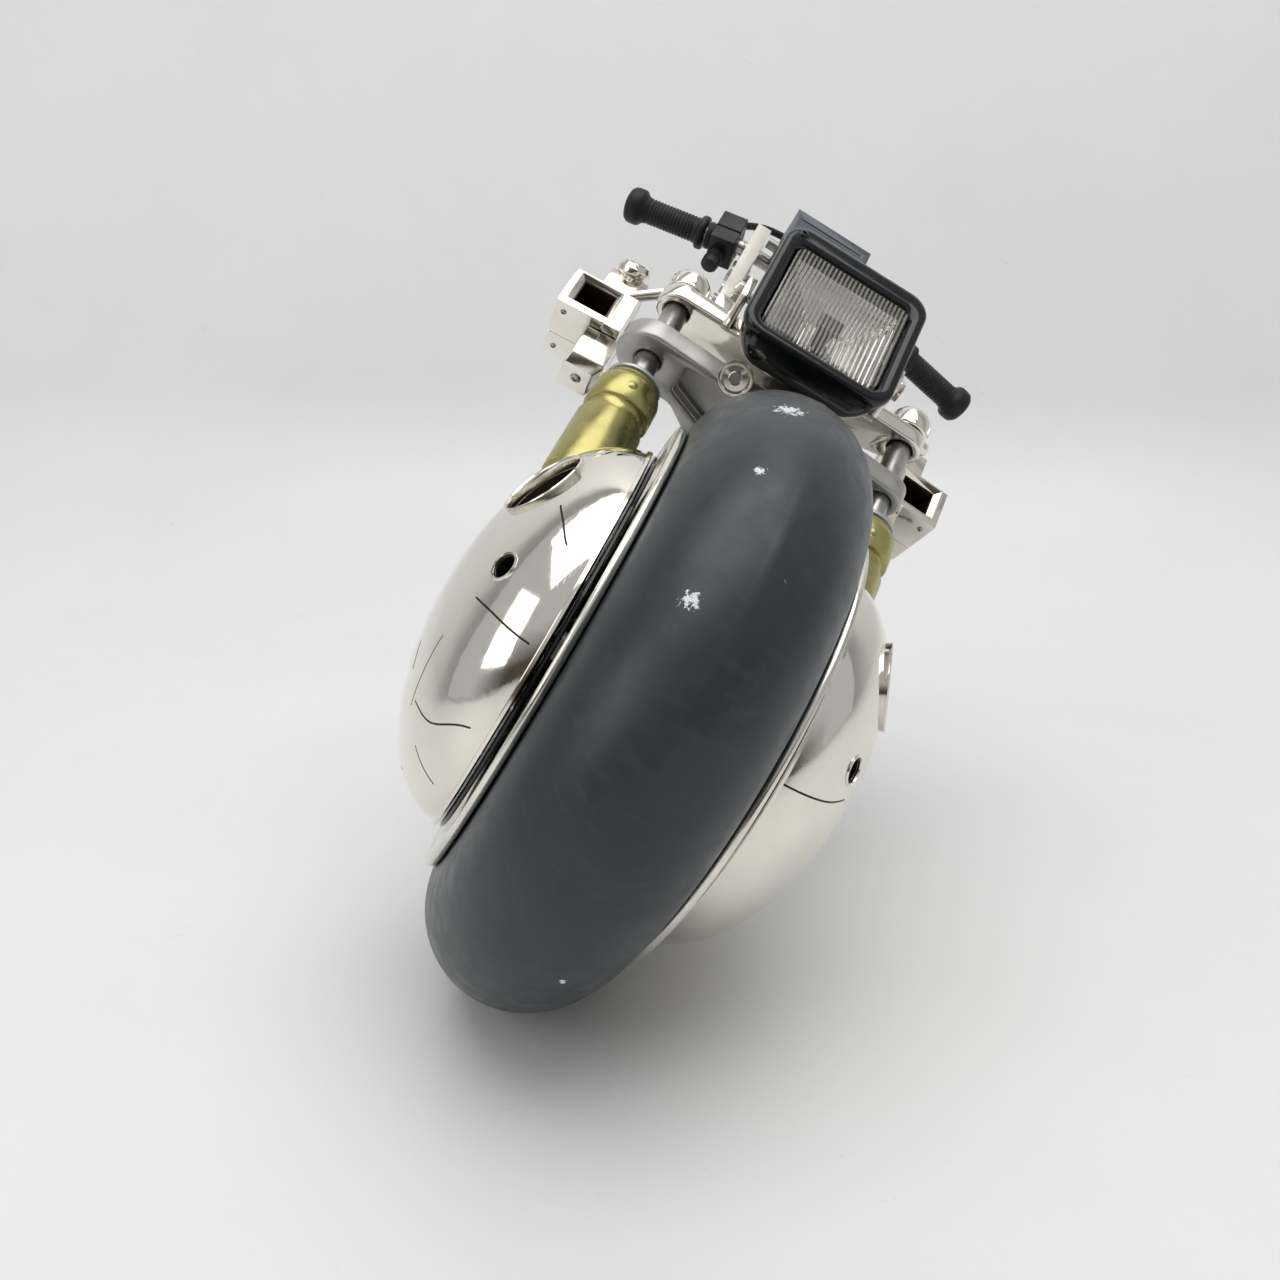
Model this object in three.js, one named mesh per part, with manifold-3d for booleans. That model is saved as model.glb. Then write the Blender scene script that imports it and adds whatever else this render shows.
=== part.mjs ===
// One-wheeled motorcycle, a die-cast display model, resting on its tyre, its side stand and its tail skid.
// Millimetres, +Z up. The vehicle's front faces -Y and it leans 31 degrees over to its left, towards +X.
// The vehicle's own frame has its origin at the wheel's centre: x to its left, y back, z up along the fork.

import * as THREE from 'three';
import { mergeVertices } from 'three/addons/utils/BufferGeometryUtils.js';
import Module from 'manifold-3d';

const wasm = await Module();
wasm.setup();

// ---- driving dimensions ----
const LEAN = 30.7;            // sideways lean at rest, degrees
const PITCH = 45;             // nose-up pitch of the fork and frame at rest, degrees
const GAP = 0.3;              // clearance between neighbouring pieces

const TYRE_R = 42;            // wheel radius over the tread
const TYRE_HALF = 11.9;       // half the tyre's width
const TYRE_CORE = 29.8;       // radius at which the tyre is widest
const TYRE_WALL = 2.8;
const RIM_SEAT = 28.7;        // outer radius of the rim's barrel
const RIM_LIP = 31;
const RIM_HALF = 13.1;
const RIM_BORE = 26.9;
const AXLE_R = 2;
const AXLE_HALF = 22.4;

const COVER_FACE = 14.3;      // where each hub cover starts, out from the wheel's middle plane
const COVER_R = 26.2;
const COVER_H = 13.9;
const COVER_WALL = 1.5;
const PORT = { x: 22.8, y: -17.5, z: 8, r: 5.2 };
const PEEP = { x: 22.6, y: -20.2, z: -5.9, r: 1.7 };

const FORK_X = { left: 18.4, right: 20.8 };  // each fork leg, out from the middle plane
const SLIDER_R = 4.9;
const SLIDER_Z = [22, 41.5];
const TUBE_R = 1.85;
const TUBE_Z = [28, 61.2];
const FORK_TRAVEL_ROOM = 4.3; // free bore below each fork tube

const STEM_Y = 8;             // steering axis, behind the fork legs
const LOWER_CLAMP_Z = [47.5, 51];
const UPPER_CLAMP_Z = [58.4, 61.2];
const BAR_X = -4;             // middle of the handlebar and the intake boxes
const BAR = { y: 8.5, z: 86.5, r: 1.3, bend: 12.9, end: 32.5, sweep: 13 };
const GRIP = { start: 19.6, length: 14.2, r: 2.1, bulb: 2.95, collar: 2.75 };
const RISER_X = 11.5;         // each handlebar riser, out from the middle of the bar
const LAMP = { x: -1.2, front: -16.4, back: -6.2, z: 59, w: 23.4, h: 22.6 };
const LAMP_PIVOT_Y = -9.5;
const BOX = { left: 29.2, right: 28, y: 7, z: 59.1, w: 10.6, d: 11.8, h: 7.4, toe: 4.5 };

const ENGINE = { y: 47.5, z: 13.5, w: 22, d: 15.5, h: 18.5 };
const STAND_FOOT = { x: 21.8, y: 38 };    // where the side stand meets the floor, from the wheel's centre
const PEG = { x: 13.4, y: 61.2, z: 26 };   // hinge of the left footpeg
const LEVER = { y: 57.2, z: 17 };         // pivot of the gear lever
const SKID = { x: -7.5, y: 66 };          // where the tail skid meets the floor, from the wheel's centre
const SEAT_Z = 61.6;

// ---- geometry helpers ----
const V = (x, y, z) => new THREE.Vector3(x, y, z);
const rad = THREE.MathUtils.degToRad;

function clean(geometry) {
  const bare = geometry.index ? geometry : geometry.clone();
  bare.deleteAttribute('normal');
  bare.deleteAttribute('uv');
  const merged = mergeVertices(bare, 1e-4);
  const p = merged.attributes.position;
  const index = merged.index.array;
  const a = V(0, 0, 0);
  const b = V(0, 0, 0);
  const c = V(0, 0, 0);
  const kept = [];
  let volume = 0;
  for (let i = 0; i < index.length; i += 3) {
    const [i0, i1, i2] = [index[i], index[i + 1], index[i + 2]];
    if (i0 === i1 || i1 === i2 || i2 === i0) continue;
    kept.push(i0, i1, i2);
    a.fromBufferAttribute(p, i0);
    b.fromBufferAttribute(p, i1);
    c.fromBufferAttribute(p, i2);
    volume += a.dot(b.cross(c));
  }
  if (volume < 0) kept.reverse();
  merged.setIndex(kept);
  return merged;
}

function solid(geometry) {
  const g = clean(geometry);
  return new wasm.Manifold(new wasm.Mesh({
    numProp: 3,
    vertProperties: new Float32Array(g.attributes.position.array),
    triVerts: new Uint32Array(g.index.array),
  }));
}

function geometryOf(manifold) {
  const { vertProperties, triVerts } = manifold.getMesh();
  const g = new THREE.BufferGeometry();
  g.setAttribute('position', new THREE.BufferAttribute(new Float32Array(vertProperties), 3));
  g.setIndex(new THREE.BufferAttribute(new Uint32Array(triVerts), 1));
  return g;
}

const join = (...gs) => geometryOf(gs.map(solid).reduce((sum, s) => sum.add(s)));
const cut = (base, ...tools) =>
  geometryOf(tools.map(solid).reduce((rest, tool) => rest.subtract(tool), solid(base)));

function box(sx, sy, sz, x = 0, y = 0, z = 0) {
  return new THREE.BoxGeometry(sx, sy, sz).translate(x, y, z);
}

// A round bar from point a to point b, tapering from radius ra to rb.
function rod(a, b, ra, rb = ra, sides = 16) {
  const along = b.clone().sub(a);
  const g = new THREE.CylinderGeometry(rb, ra, along.length(), sides);
  const turn = new THREE.Quaternion().setFromUnitVectors(V(0, 1, 0), along.clone().normalize());
  return g.applyQuaternion(turn).translate(...a.clone().add(b).multiplyScalar(0.5).toArray());
}

// A closed profile of [along, radius] points turned about x, y or z.
function turned(profile, axis = 'z', sides = 24) {
  const points = [...profile, profile[0]].map(([along, r]) => new THREE.Vector2(r, along));
  const g = new THREE.LatheGeometry(points, sides);
  if (axis === 'x') g.rotateZ(-Math.PI / 2);
  if (axis === 'z') g.rotateX(Math.PI / 2);
  return g;
}

// A flat plate: an outline in x and y, from z0 up to z1, with rounded corners where asked.
function plate(outline, z0, z1, holes = []) {
  const points = () => outline.map(([x, y]) => new THREE.Vector2(x, y));
  const shape = outline instanceof THREE.Shape ? outline : new THREE.Shape(points());
  holes.forEach(([x, y, r]) => shape.holes.push(new THREE.Path().absarc(x, y, r, 0, 2 * Math.PI, true)));
  const options = { depth: z1 - z0, bevelEnabled: false, curveSegments: 8 };
  return new THREE.ExtrudeGeometry(shape, options).translate(0, 0, z0);
}

function roundedRect(w, h, r) {
  const s = new THREE.Shape();
  s.absarc(w / 2 - r, h / 2 - r, r, 0, Math.PI / 2);
  s.absarc(-w / 2 + r, h / 2 - r, r, Math.PI / 2, Math.PI);
  s.absarc(-w / 2 + r, -h / 2 + r, r, Math.PI, 1.5 * Math.PI);
  s.absarc(w / 2 - r, -h / 2 + r, r, 1.5 * Math.PI, 2 * Math.PI);
  return s;
}

// A round cord or bent tube along a smooth curve through the points given.
function bent(points, r, sides = 8, steps = 24) {
  const path = new THREE.CatmullRomCurve3(points.map((p) => V(...p)), false, 'centripetal');
  const section = new THREE.Shape();
  for (let i = 0; i < sides; i += 1) {
    const angle = (2 * Math.PI * i) / sides;
    const place = [r * Math.cos(angle), r * Math.sin(angle)];
    if (i === 0) section.moveTo(...place);
    else section.lineTo(...place);
  }
  return new THREE.ExtrudeGeometry(section, { steps, bevelEnabled: false, extrudePath: path });
}

// Turns an outline drawn in y and z, and extruded in z, so that it is extruded along x instead.
const sideways = (g) => g.applyMatrix4(new THREE.Matrix4().makeBasis(V(0, 1, 0), V(0, 0, 1), V(1, 0, 0)));
const mirrorX = (g) => clean(g.clone().scale(-1, 1, 1));

// ---- placing: the vehicle leans over and sits nose up on the floor ----
const TREAD_STEPS = 8;
const TREAD = Array.from({ length: TREAD_STEPS + 1 }, (_, i) => {
  const t = (Math.PI * i) / TREAD_STEPS;
  return [TYRE_HALF * Math.cos(t), TYRE_CORE + (TYRE_R - TYRE_CORE) * Math.sin(t)];
});
const AXLE_HEIGHT = Math.max(...TREAD.map(([x, r]) => r * Math.cos(rad(LEAN)) + x * Math.sin(rad(LEAN))));
const model = new THREE.Group();
const leaning = new THREE.Group();
const vehicle = new THREE.Group();
leaning.rotation.y = rad(LEAN);
vehicle.rotation.x = -rad(PITCH);
model.add(leaning.add(vehicle));
model.updateMatrixWorld(true);
const TO_VEHICLE = vehicle.matrixWorld.clone().invert();

// The side stand folds back about an axis square to its leg, so the vehicle's weight doesn't turn it.
const STAND_PIVOT = V(14.4, 49.8, 16.2);
const STAND_AXIS = (() => {
  const up = V(0, 0, 1).transformDirection(TO_VEHICLE);
  const foot = V(STAND_FOOT.x, STAND_FOOT.y, -AXLE_HEIGHT).applyMatrix4(TO_VEHICLE);
  const leg = foot.sub(STAND_PIVOT).normalize();
  return up.addScaledVector(leg, -up.dot(leg)).normalize();
})();

// ---- materials and node making ----
const FINISH = {
  rubber: [0x3a4147, 0.55, 0],
  chrome: [0xd9d4c8, 0.12, 1],
  satin: [0xa7a59f, 0.4, 0.9],
  gold: [0xa9a04e, 0.3, 0.9],
  black: [0x0d0e10, 0.18, 0],
  matteBlack: [0x17181a, 0.6, 0],
  glass: [0xcfc9ba, 0.05, 0],
  engine: [0x8d8f92, 0.45, 0.8],
  steel: [0x8a8a8c, 0.3, 1],
  leather: [0x1d1a18, 0.6, 0],
  red: [0x8c1210, 0.2, 0],
};

function node(name, geometry, finish, group) {
  const [color, roughness, metalness] = FINISH[finish];
  const g = clean(geometry);
  g.computeVertexNormals();
  const mesh = new THREE.Mesh(g, new THREE.MeshStandardMaterial({ color, roughness, metalness }));
  mesh.name = name;
  group.add(mesh);
  return mesh;
}

const SIDES = [['left', 1], ['right', -1]];
const onSide = (sign, g) => (sign > 0 ? g : mirrorX(g));

// ---- wheel: turns about the axle ----
function tyreProfile() {
  const inner = [];
  for (let i = 5; i >= 0; i -= 1) {
    const t = (Math.PI * i) / 5;
    const reach = TYRE_R - TYRE_CORE - TYRE_WALL;
    inner.push([(TYRE_HALF - TYRE_WALL) * Math.cos(t), TYRE_CORE + reach * Math.sin(t)]);
  }
  const bead = RIM_SEAT + GAP;
  return [...TREAD, [-TYRE_HALF + 0.6, bead], [-TYRE_HALF + TYRE_WALL + 0.6, bead], ...inner,
    [TYRE_HALF - TYRE_WALL - 0.6, bead], [TYRE_HALF - 0.6, bead]];
}

function addWheel(group) {
  // One spoke of facets points straight down when the vehicle leans, so the tread meets the floor at a corner.
  node('tyre', turned(tyreProfile(), 'x', 40), 'rubber', group);
  const half = [[RIM_HALF - 1.9, RIM_BORE], [RIM_HALF - 0.2, RIM_SEAT - 0.3], [RIM_HALF, RIM_LIP - 0.8],
    [RIM_HALF, RIM_LIP], [RIM_HALF - 0.9, RIM_LIP], [RIM_HALF - 0.9, RIM_SEAT]];
  const mirrored = half.map(([x, r]) => [-x, r]).reverse();
  node('rim', turned([...half, ...mirrored], 'x', 32), 'chrome', group);
  const web = 1.5;
  const profile = [[-9, 3.6], [-9, 6.5], [-web, 6.5], [-web, RIM_BORE - GAP], [web, RIM_BORE - GAP], [web, 6.5],
    [9, 6.5], [9, 3.6]];
  const lightening = [0, 1, 2, 3, 4, 5].map((i) => {
    const angle = (i * Math.PI) / 3;
    const [y, z] = [16 * Math.cos(angle), 16 * Math.sin(angle)];
    return rod(V(-3, y, z), V(3, y, z), 5, 5, 10);
  });
  node('wheel_hub', cut(turned(profile, 'x', 20), ...lightening), 'satin', group);
  const [bore, outside] = [AXLE_R + GAP, 3.6 - GAP];
  node('hub_bush', turned([[-8.6, bore], [-8.6, outside], [8.6, outside], [8.6, bore]], 'x', 20), 'steel', group);
}

// ---- lower fork: hub covers, fork sliders and axle, which ride up and down on the fork tubes ----
function coverShell(forkX) {
  const arc = (h, r, from, to, steps) => {
    const points = [];
    for (let i = 0; i <= steps; i += 1) {
      const t = from + ((to - from) * i) / steps;
      points.push([COVER_FACE + h * Math.sin(t), r * Math.cos(t)]);
    }
    return points;
  };
  const outer = arc(COVER_H, COVER_R, 0.09, Math.PI / 2, 6);
  const inner = arc(COVER_H - COVER_WALL, COVER_R - COVER_WALL, Math.PI / 2, 0, 5);
  outer[outer.length - 1][1] = 0;
  inner[0][1] = 0;
  const lip = [[COVER_FACE, COVER_R + 0.5], [COVER_FACE + 0.9, COVER_R + 0.5]];
  const shell = turned([...lip, ...outer, ...inner], 'x', 24);
  const slope = V((PORT.x - COVER_FACE) / COVER_H ** 2, PORT.y / COVER_R ** 2, PORT.z / COVER_R ** 2);
  const normal = slope.normalize();
  const port = V(PORT.x, PORT.y, PORT.z);
  const peep = V(PEEP.x, PEEP.y, PEEP.z);
  const at = (p, s) => p.clone().addScaledVector(normal, s);
  const collar = rod(at(port, -2), at(port, 0.5), PORT.r + 0.9, PORT.r + 0.9, 20);
  return cut(join(shell, collar),
    rod(at(port, -3), at(port, 5), PORT.r, PORT.r, 20),
    rod(at(peep, -4), at(peep, 4), PEEP.r, PEEP.r, 12),
    rod(V(forkX, 0, 10), V(forkX, 0, 40), SLIDER_R + 0.6, SLIDER_R + 0.6, 16),
    rod(V(forkX + 2, 3, 10), V(forkX + 2, 3, 40), SLIDER_R + 1.2, SLIDER_R + 1.2, 16));
}

function addLowerFork(group) {
  const shaft = rod(V(-AXLE_HALF - 1, 0, 0), V(AXLE_HALF, 0, 0), AXLE_R, AXLE_R, 20);
  const hex = rod(V(AXLE_HALF + GAP, 0, 0), V(AXLE_HALF + 2.6, 0, 0), 3.6, 3.6, 6);
  node('axle', join(shaft, mirrorX(hex)), 'steel', group);
  node('axle_nut', hex, 'steel', group);
  const [bottom, top] = SLIDER_Z;
  const bore = TUBE_R + GAP;
  const slider = [[bottom, 0], [bottom, SLIDER_R - 0.5], [bottom + 0.6, SLIDER_R], [top - 7.4, SLIDER_R],
    [top - 7, SLIDER_R - 0.35], [top - 6.4, SLIDER_R - 0.35], [top - 6, SLIDER_R], [top - 2.6, SLIDER_R],
    [top - 1.4, SLIDER_R - 0.7], [top, SLIDER_R - 0.8], [top, bore], [TUBE_Z[0] - FORK_TRAVEL_ROOM, bore],
    [TUBE_Z[0] - FORK_TRAVEL_ROOM, 0]];
  const eye = turned([[-1.5, AXLE_R + GAP], [-1.5, 4.2], [1.5, 4.2], [1.5, AXLE_R + GAP]], 'x', 20);
  const leg = rod(V(0, 0, 3.6), V(0, 0, bottom - GAP), 2.4, 2.4, 12);
  const foot = join(eye, leg);
  const lips = [[top + GAP, bore], [top + GAP, 4.2], [top + 0.7, 4.2], [top + 0.9, 3.7], [top + 1.2, 3.7],
    [top + 1.6, 3], [top + 1.6, bore]];
  const seal = turned(lips, 'z', 20);
  const back = turned([[COVER_FACE - 0.9, AXLE_R + GAP], [COVER_FACE - 0.9, COVER_R + 0.3],
    [COVER_FACE - GAP, COVER_R + 0.3], [COVER_FACE - GAP, AXLE_R + GAP]], 'x', 28);
  SIDES.forEach(([side, sign]) => {
    const x = FORK_X[side];
    const clearance = rod(V(x, 0, bottom - 4), V(x, 0, top), SLIDER_R + 0.4, SLIDER_R + 0.4, 16);
    node(`hub_cover_${side}`, onSide(sign, coverShell(x)), 'chrome', group);
    node(`cover_back_${side}`, onSide(sign, cut(back, clearance)), 'black', group);
    node(`fork_seal_${side}`, seal, 'rubber', group).position.x = sign * x;
    node(`fork_slider_${side}`, turned(slider, 'z', 16), 'gold', group).position.x = sign * x;
    node(`fork_foot_${side}`, foot, 'matteBlack', group).position.x = sign * FORK_X.right;
  });
}

// ---- steering head: clamps, lamp, bars and intake boxes, which turn about the stem ----
// Seen from above: a lobe round each fork leg, its radius given for the left and the right, and a waist at the stem.
function clampOutline(lobes, nose, tail) {
  const s = new THREE.Shape();
  s.moveTo(0, nose);
  s.lineTo(FORK_X.left - 4, nose + 0.4);
  s.absarc(FORK_X.left, 0, lobes.left, -Math.PI / 2, Math.PI / 2 - 0.35);
  s.lineTo(5.5, tail);
  s.absarc(0, STEM_Y, tail - STEM_Y + 1.2, 0.9, Math.PI - 0.9);
  s.lineTo(-5.5, tail);
  s.absarc(-FORK_X.right, 0, lobes.right, Math.PI / 2 + 0.35, 1.5 * Math.PI);
  s.lineTo(4 - FORK_X.right, nose + 0.4);
  return s;
}

function addClamps(group) {
  const stemHole = [0, STEM_Y, 2.1 + GAP];
  const tubeHoles = [[FORK_X.left, 0, TUBE_R + GAP], [-FORK_X.right, 0, TUBE_R + GAP]];
  const [l0, l1] = LOWER_CLAMP_Z;
  const lower = plate(clampOutline({ left: 3.4, right: 5.2 }, -4.6, 11.5), l0, l1, [stemHole, ...tubeHoles]);
  const hollow = [[7, -2.8], [14.4, -2.4], [14.4, 2.4], [7, 6]];
  const pocket = (sign) => plate(hollow.map(([px, py]) => [sign * px, py]), l0 - 1, l0 + 1.6);
  node('lower_clamp', cut(lower, pocket(1), pocket(-1)), 'satin', group);
  const [u0, u1] = UPPER_CLAMP_Z;
  node('upper_clamp', plate(clampOutline({ left: 3.1, right: 3.4 }, -3.6, 11), u0, u1, [stemHole, ...tubeHoles]), 'chrome', group);
  node('steering_stem', join(rod(V(0, STEM_Y, l0), V(0, STEM_Y, u1 + 1), 2.1, 2.1, 20),
    rod(V(0, STEM_Y, u1 + GAP), V(0, STEM_Y, u1 + 2.6), 3.6, 3.6, 6)), 'steel', group);
  const cap = turned([[u1 + GAP, 0], [u1 + GAP, 3.2], [u1 + 3.4, 3.2], [u1 + 4.2, 2.6], [u1 + 4.2, 1.5],
    [u1 + 5, 1.5], [u1 + 5, 0]], 'z', 20);
  const tube = rod(V(0, 0, TUBE_Z[0]), V(0, 0, TUBE_Z[1]), TUBE_R, TUBE_R, 20);
  SIDES.forEach(([side, sign]) => {
    node(`fork_tube_${side}`, tube, 'satin', group).position.x = sign * FORK_X[side];
    node(`fork_cap_${side}`, cap, 'chrome', group).position.x = sign * FORK_X[side];
  });
}

function addIntakes(group) {
  const { y, z, w, d, h, toe } = BOX;
  const mouth = box(5.6, 9, 4.6, 0.6, 4, 0.5);
  const seam = box(w + 1, 0.5, 0.6, 0, d * 0.62, -h / 2);
  const stepOutline = [[-3, -3.4], [2.4, -3.4], [3, -1], [3, 3.4], [-1.6, 3.4], [-3, 1]];
  const step = plate(stepOutline, -h / 2 - 7.4, -h / 2 + 0.4);
  const shell = cut(join(box(w, d, h, 0, d / 2, 0), step.translate(2.4 - w / 2, 5.2, 0)), mouth, seam);
  const reservoir = join(box(6.4, 6, 7.6, 0, 0, 3.8), rod(V(0, -0.4, 6.8), V(0, -3.6, 10), 2.9, 2.9, 20));
  SIDES.forEach(([side, sign]) => {
    const x = BOX[side];
    const place = new THREE.Group();
    place.position.set(BAR_X + sign * x, y, z);
    place.rotation.z = sign * rad(toe);
    group.add(place);
    node(`intake_${side}`, onSide(sign, shell), 'chrome', place);
    node(`reservoir_${side}`, reservoir, 'chrome', place).position.set(-sign * 1.6, d - 4.6, h / 2 + GAP);
    const cap = V(sign * FORK_X[side], 0, UPPER_CLAMP_Z[1] + 2.4);
    const block = V(BAR_X + sign * (x - 1.6), y + d - 8, z + h / 2 + 1.5);
    const along = block.clone().sub(cap).normalize();
    const stay = rod(cap.addScaledVector(along, 3.6), block.addScaledVector(along, -0.9), 0.9, 0.9, 10);
    node(`intake_stay_${side}`, stay, 'chrome', group);
  });
}

// The bar runs straight over the risers, then sweeps back; s is the distance out from its middle.
function onBar(sign, s) {
  const out = Math.max(0, s - BAR.bend);
  const sweep = rad(BAR.sweep);
  return V(BAR_X + sign * (Math.min(s, BAR.bend) + out * Math.cos(sweep)), BAR.y + out * Math.sin(sweep), BAR.z);
}

function placeOnBar(object, sign, s) {
  object.position.copy(onBar(sign, s));
  object.rotation.z = sign * rad(BAR.sweep) + (sign > 0 ? 0 : Math.PI);
}

function gripShape() {
  const bore = BAR.r + GAP;
  const { length, r, bulb, collar } = GRIP;
  return turned([[0, bore], [0, collar], [1.1, collar], [1.6, r], [length - 3.6, r], [length - 2.8, bulb],
    [length - 1, bulb], [length, bulb - 1], [length, 0], [length - 0.8, 0], [length - 0.8, bore]], 'x', 20);
}

function riserShape() {
  // Seen from the side: y back, z up.
  const outline = [[-1.5, 61.5], [6.5, 61.5], [6.2, 66], [8.4, 80.5], [12, 83.4], [12, 88.4], [10.6, 90.2],
    [5.4, 90.2], [4.4, 80.5], [1, 71], [-1.5, 65.6]];
  const holes = [[BAR.y, BAR.z, BAR.r + GAP], [2.8, 66.6, 1.3], [5.6, 77, 1.2], [4.2, 72, 0.9]];
  return sideways(plate(outline, -1.2, 1.2, holes));
}

function addBars(group, throttle) {
  const stations = [BAR.end, 24, BAR.bend + 1, BAR.bend, BAR.bend - 1, 6];
  const path = [...stations.map((s) => onBar(-1, s)), ...stations.reverse().map((s) => onBar(1, s))];
  node('handlebar', bent(path.map((p) => p.toArray()), BAR.r, 8, 30), 'steel', group);
  const riser = riserShape();
  const pod = join(box(4.2, 5.8, 6.6, 0, 0, 0.4), rod(V(1.8, 0, 0), V(3.2, 0, 0), 2, 2.3, 14),
    rod(V(0.4, -0.6, -2), V(0.7, -0.8, -6), 1.6, 1.4, 12));
  const podBore = rod(V(-8, 0, 0), V(9, 0, 0), BAR.r + GAP, BAR.r + GAP, 16);
  SIDES.forEach(([side, sign]) => {
    node(`riser_${side}`, riser, 'chrome', group).position.x = BAR_X + sign * RISER_X;
    placeOnBar(node(`switch_pod_${side}`, cut(pod, podBore), 'black', group), sign, GRIP.start - 3.6);
  });
  placeOnBar(node('grip_left', gripShape(), 'rubber', group), 1, GRIP.start);
  placeOnBar(node('grip_right', gripShape(), 'rubber', throttle), -1, GRIP.start);
  const inner = RISER_X - 1.2 - GAP;
  const crossRod = rod(V(BAR_X - inner, 5, 87), V(BAR_X + inner, 5, 87), 0.9, 0.9, 12);
  const dials = join(box(13.8, 6, 7.6, BAR_X - 1.4, 3.4, 88.6), crossRod);
  node('instrument_pod', dials, 'satin', group);
  const hornAxis = V(0, -0.8, -0.6);
  const hornSeat = V(-9, -5.4, 48.2);
  const hornAt = (s) => hornSeat.clone().addScaledVector(hornAxis, s);
  const dish = rod(hornAt(0.8), hornAt(2.6), 1.6, 2.5, 20);
  node('horn', join(rod(hornAt(0), hornAt(1.2), 1, 1, 12), dish), 'chrome', group);
  const throttlePoints = [[-19.4, 10, 90.6], [-18.6, 10.6, 93.6], [-14, 11.4, 97], [-6, 11.8, 97.6],
    [0, 11.6, 94], [0.4, 11.4, 88],
    [0.2, 11, 78], [0.6, 10.6, 70], [1, 10.2, 66.5]];
  node('throttle_cable', bent(throttlePoints, 0.65, 8, 26), 'matteBlack', group);
}

// ---- headlight: tilts between its brackets ----
// A rounded block from y = front back to y = back, its back end shrunk by the factor given.
function lampBlock(w, h, r, front, back, shrink = 1) {
  const g = new THREE.ExtrudeGeometry(roundedRect(w, h, r), { depth: back - front, bevelEnabled: false, curveSegments: 5 });
  const p = g.attributes.position;
  for (let i = 0; i < p.count; i += 1) {
    const f = p.getZ(i) > 0.5 ? shrink : 1;
    p.setXYZ(i, p.getX(i) * f, p.getZ(i) + front, p.getY(i) * f);
  }
  return g.translate(LAMP.x, 0, LAMP.z);
}

function addLamp(group, brackets) {
  const { x, front, back, z, w, h } = LAMP;
  const mouth = front + 1.3;
  const outer = lampBlock(w - 0.8, h - 0.6, 3, mouth + GAP, back, 0.69);
  const inside = lampBlock(w - 2.8, h - 2.6, 2.4, mouth - 1, back - 1.2, 0.66);
  const pinHole = rod(V(x - w, LAMP_PIVOT_Y, z), V(x + w, LAMP_PIVOT_Y, z), 1.1, 1.1, 16);
  node('headlight_shell', cut(outer, inside, pinHole), 'black', group);
  const lensDrop = -0.8;
  const glassW = w - 5;
  const glassH = h - 6.4;
  const [openW, openH] = [glassW + 2 * GAP, glassH + 2 * GAP];
  const opening = lampBlock(openW, openH, 1.6, front - 2, mouth + 2).translate(0, 0, lensDrop);
  node('headlight_bezel', cut(lampBlock(w, h, 3.2, front, mouth), opening), 'black', group);
  node('headlight_lens', lampBlock(glassW, glassH, 1.4, front + 0.2, mouth).translate(0, 0, lensDrop), 'glass', group);
  const dish = lampBlock(w - 6, h - 7, 1.8, mouth + 0.6, back - 2.6, 0.46);
  const dishInside = lampBlock(w - 7.2, h - 8.2, 1.4, mouth - 0.4, back - 3.4, 0.4);
  node('headlight_reflector', cut(dish, dishInside), 'chrome', group);
  const bulbBase = rod(V(x, back - 6.6, z), V(x, back - 3.8, z), 1.3, 1.3, 12);
  const bulbShield = rod(V(x, back - 7.4, z), V(x, back - 6.4, z), 1.7, 1.7, 12);
  node('headlight_bulb', join(bulbBase, bulbShield), 'steel', group);
  const face = w / 2 + 0.1;
  const armSide = [[LAMP_PIVOT_Y - 2, z - 2], [LAMP_PIVOT_Y + 2.4, z - 2.6], [-5.9, z - 3.4], [-4.8, z - 3.4], [-4.8, z + 3.4],
    [LAMP_PIVOT_Y + 2, z + 2.4], [LAMP_PIVOT_Y - 2, z + 2]];
  const arm = join(sideways(plate(armSide, face, face + 1.3)),
    rod(V(face - 1, LAMP_PIVOT_Y, z), V(face + 2.4, LAMP_PIVOT_Y, z), 0.8, 0.8, 12),
    rod(V(face + 1, LAMP_PIVOT_Y, z), V(face + 2.4, LAMP_PIVOT_Y, z), 1.7, 1.7, 6));
  const bridge = box(2 * face + 1, 0.9, 3, 0, -5.25, z - 1.9);
  node('headlight_bracket', join(arm, mirrorX(arm), bridge).translate(x, 0, 0), 'chrome', brackets);
}

// ---- frame, engine, seat and stands ----
function addFrame(group) {
  const spine = bent([[0, 9, 54.7], [0, 26, 56], [0, 50, 55], [0, 80, 58.6]], 2.8, 8, 12);
  const head = rod(V(0, STEM_Y, LOWER_CLAMP_Z[1] + 0.4), V(0, STEM_Y, UPPER_CLAMP_Z[0] - 0.4), 4, 4, 24);
  const bore = rod(V(0, STEM_Y, 50), V(0, STEM_Y, 60), 2.1 + GAP, 2.1 + GAP, 20);
  const top = ENGINE.z + ENGINE.h + GAP;
  const down = rod(V(0, 47, 53), V(0, 51, top), 2.6, 2.6, 12);
  const foot = box(9, 6, 2, 0, 51.5, top + 1);
  const stay = rod(V(0, 72, 57), V(0, 60.5, top + 1), 1.8, 1.8, 12);
  const stayFoot = box(7, 4, 2, 0, 60.2, top + 1);
  node('main_frame', cut(join(spine, head, down, foot, stay, stayFoot), bore), 'black', group);
  const ball = new THREE.SphereGeometry(1, 20, 12).rotateX(Math.PI / 2);
  const tank = ball.scale(9, 12.5, 9.5).translate(0, 34, 62);
  const neck = rod(V(0, 34, 68), V(0, 34, 71.8), 1.9, 1.9, 16);
  const channel = rod(V(0, 18, 56.2), V(0, 60, 56.2), 3.9, 3.9, 16);
  node('fuel_tank', cut(join(tank, neck), box(30, 40, 20, 0, 34, 49.3), channel), 'chrome', group);
}

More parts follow.
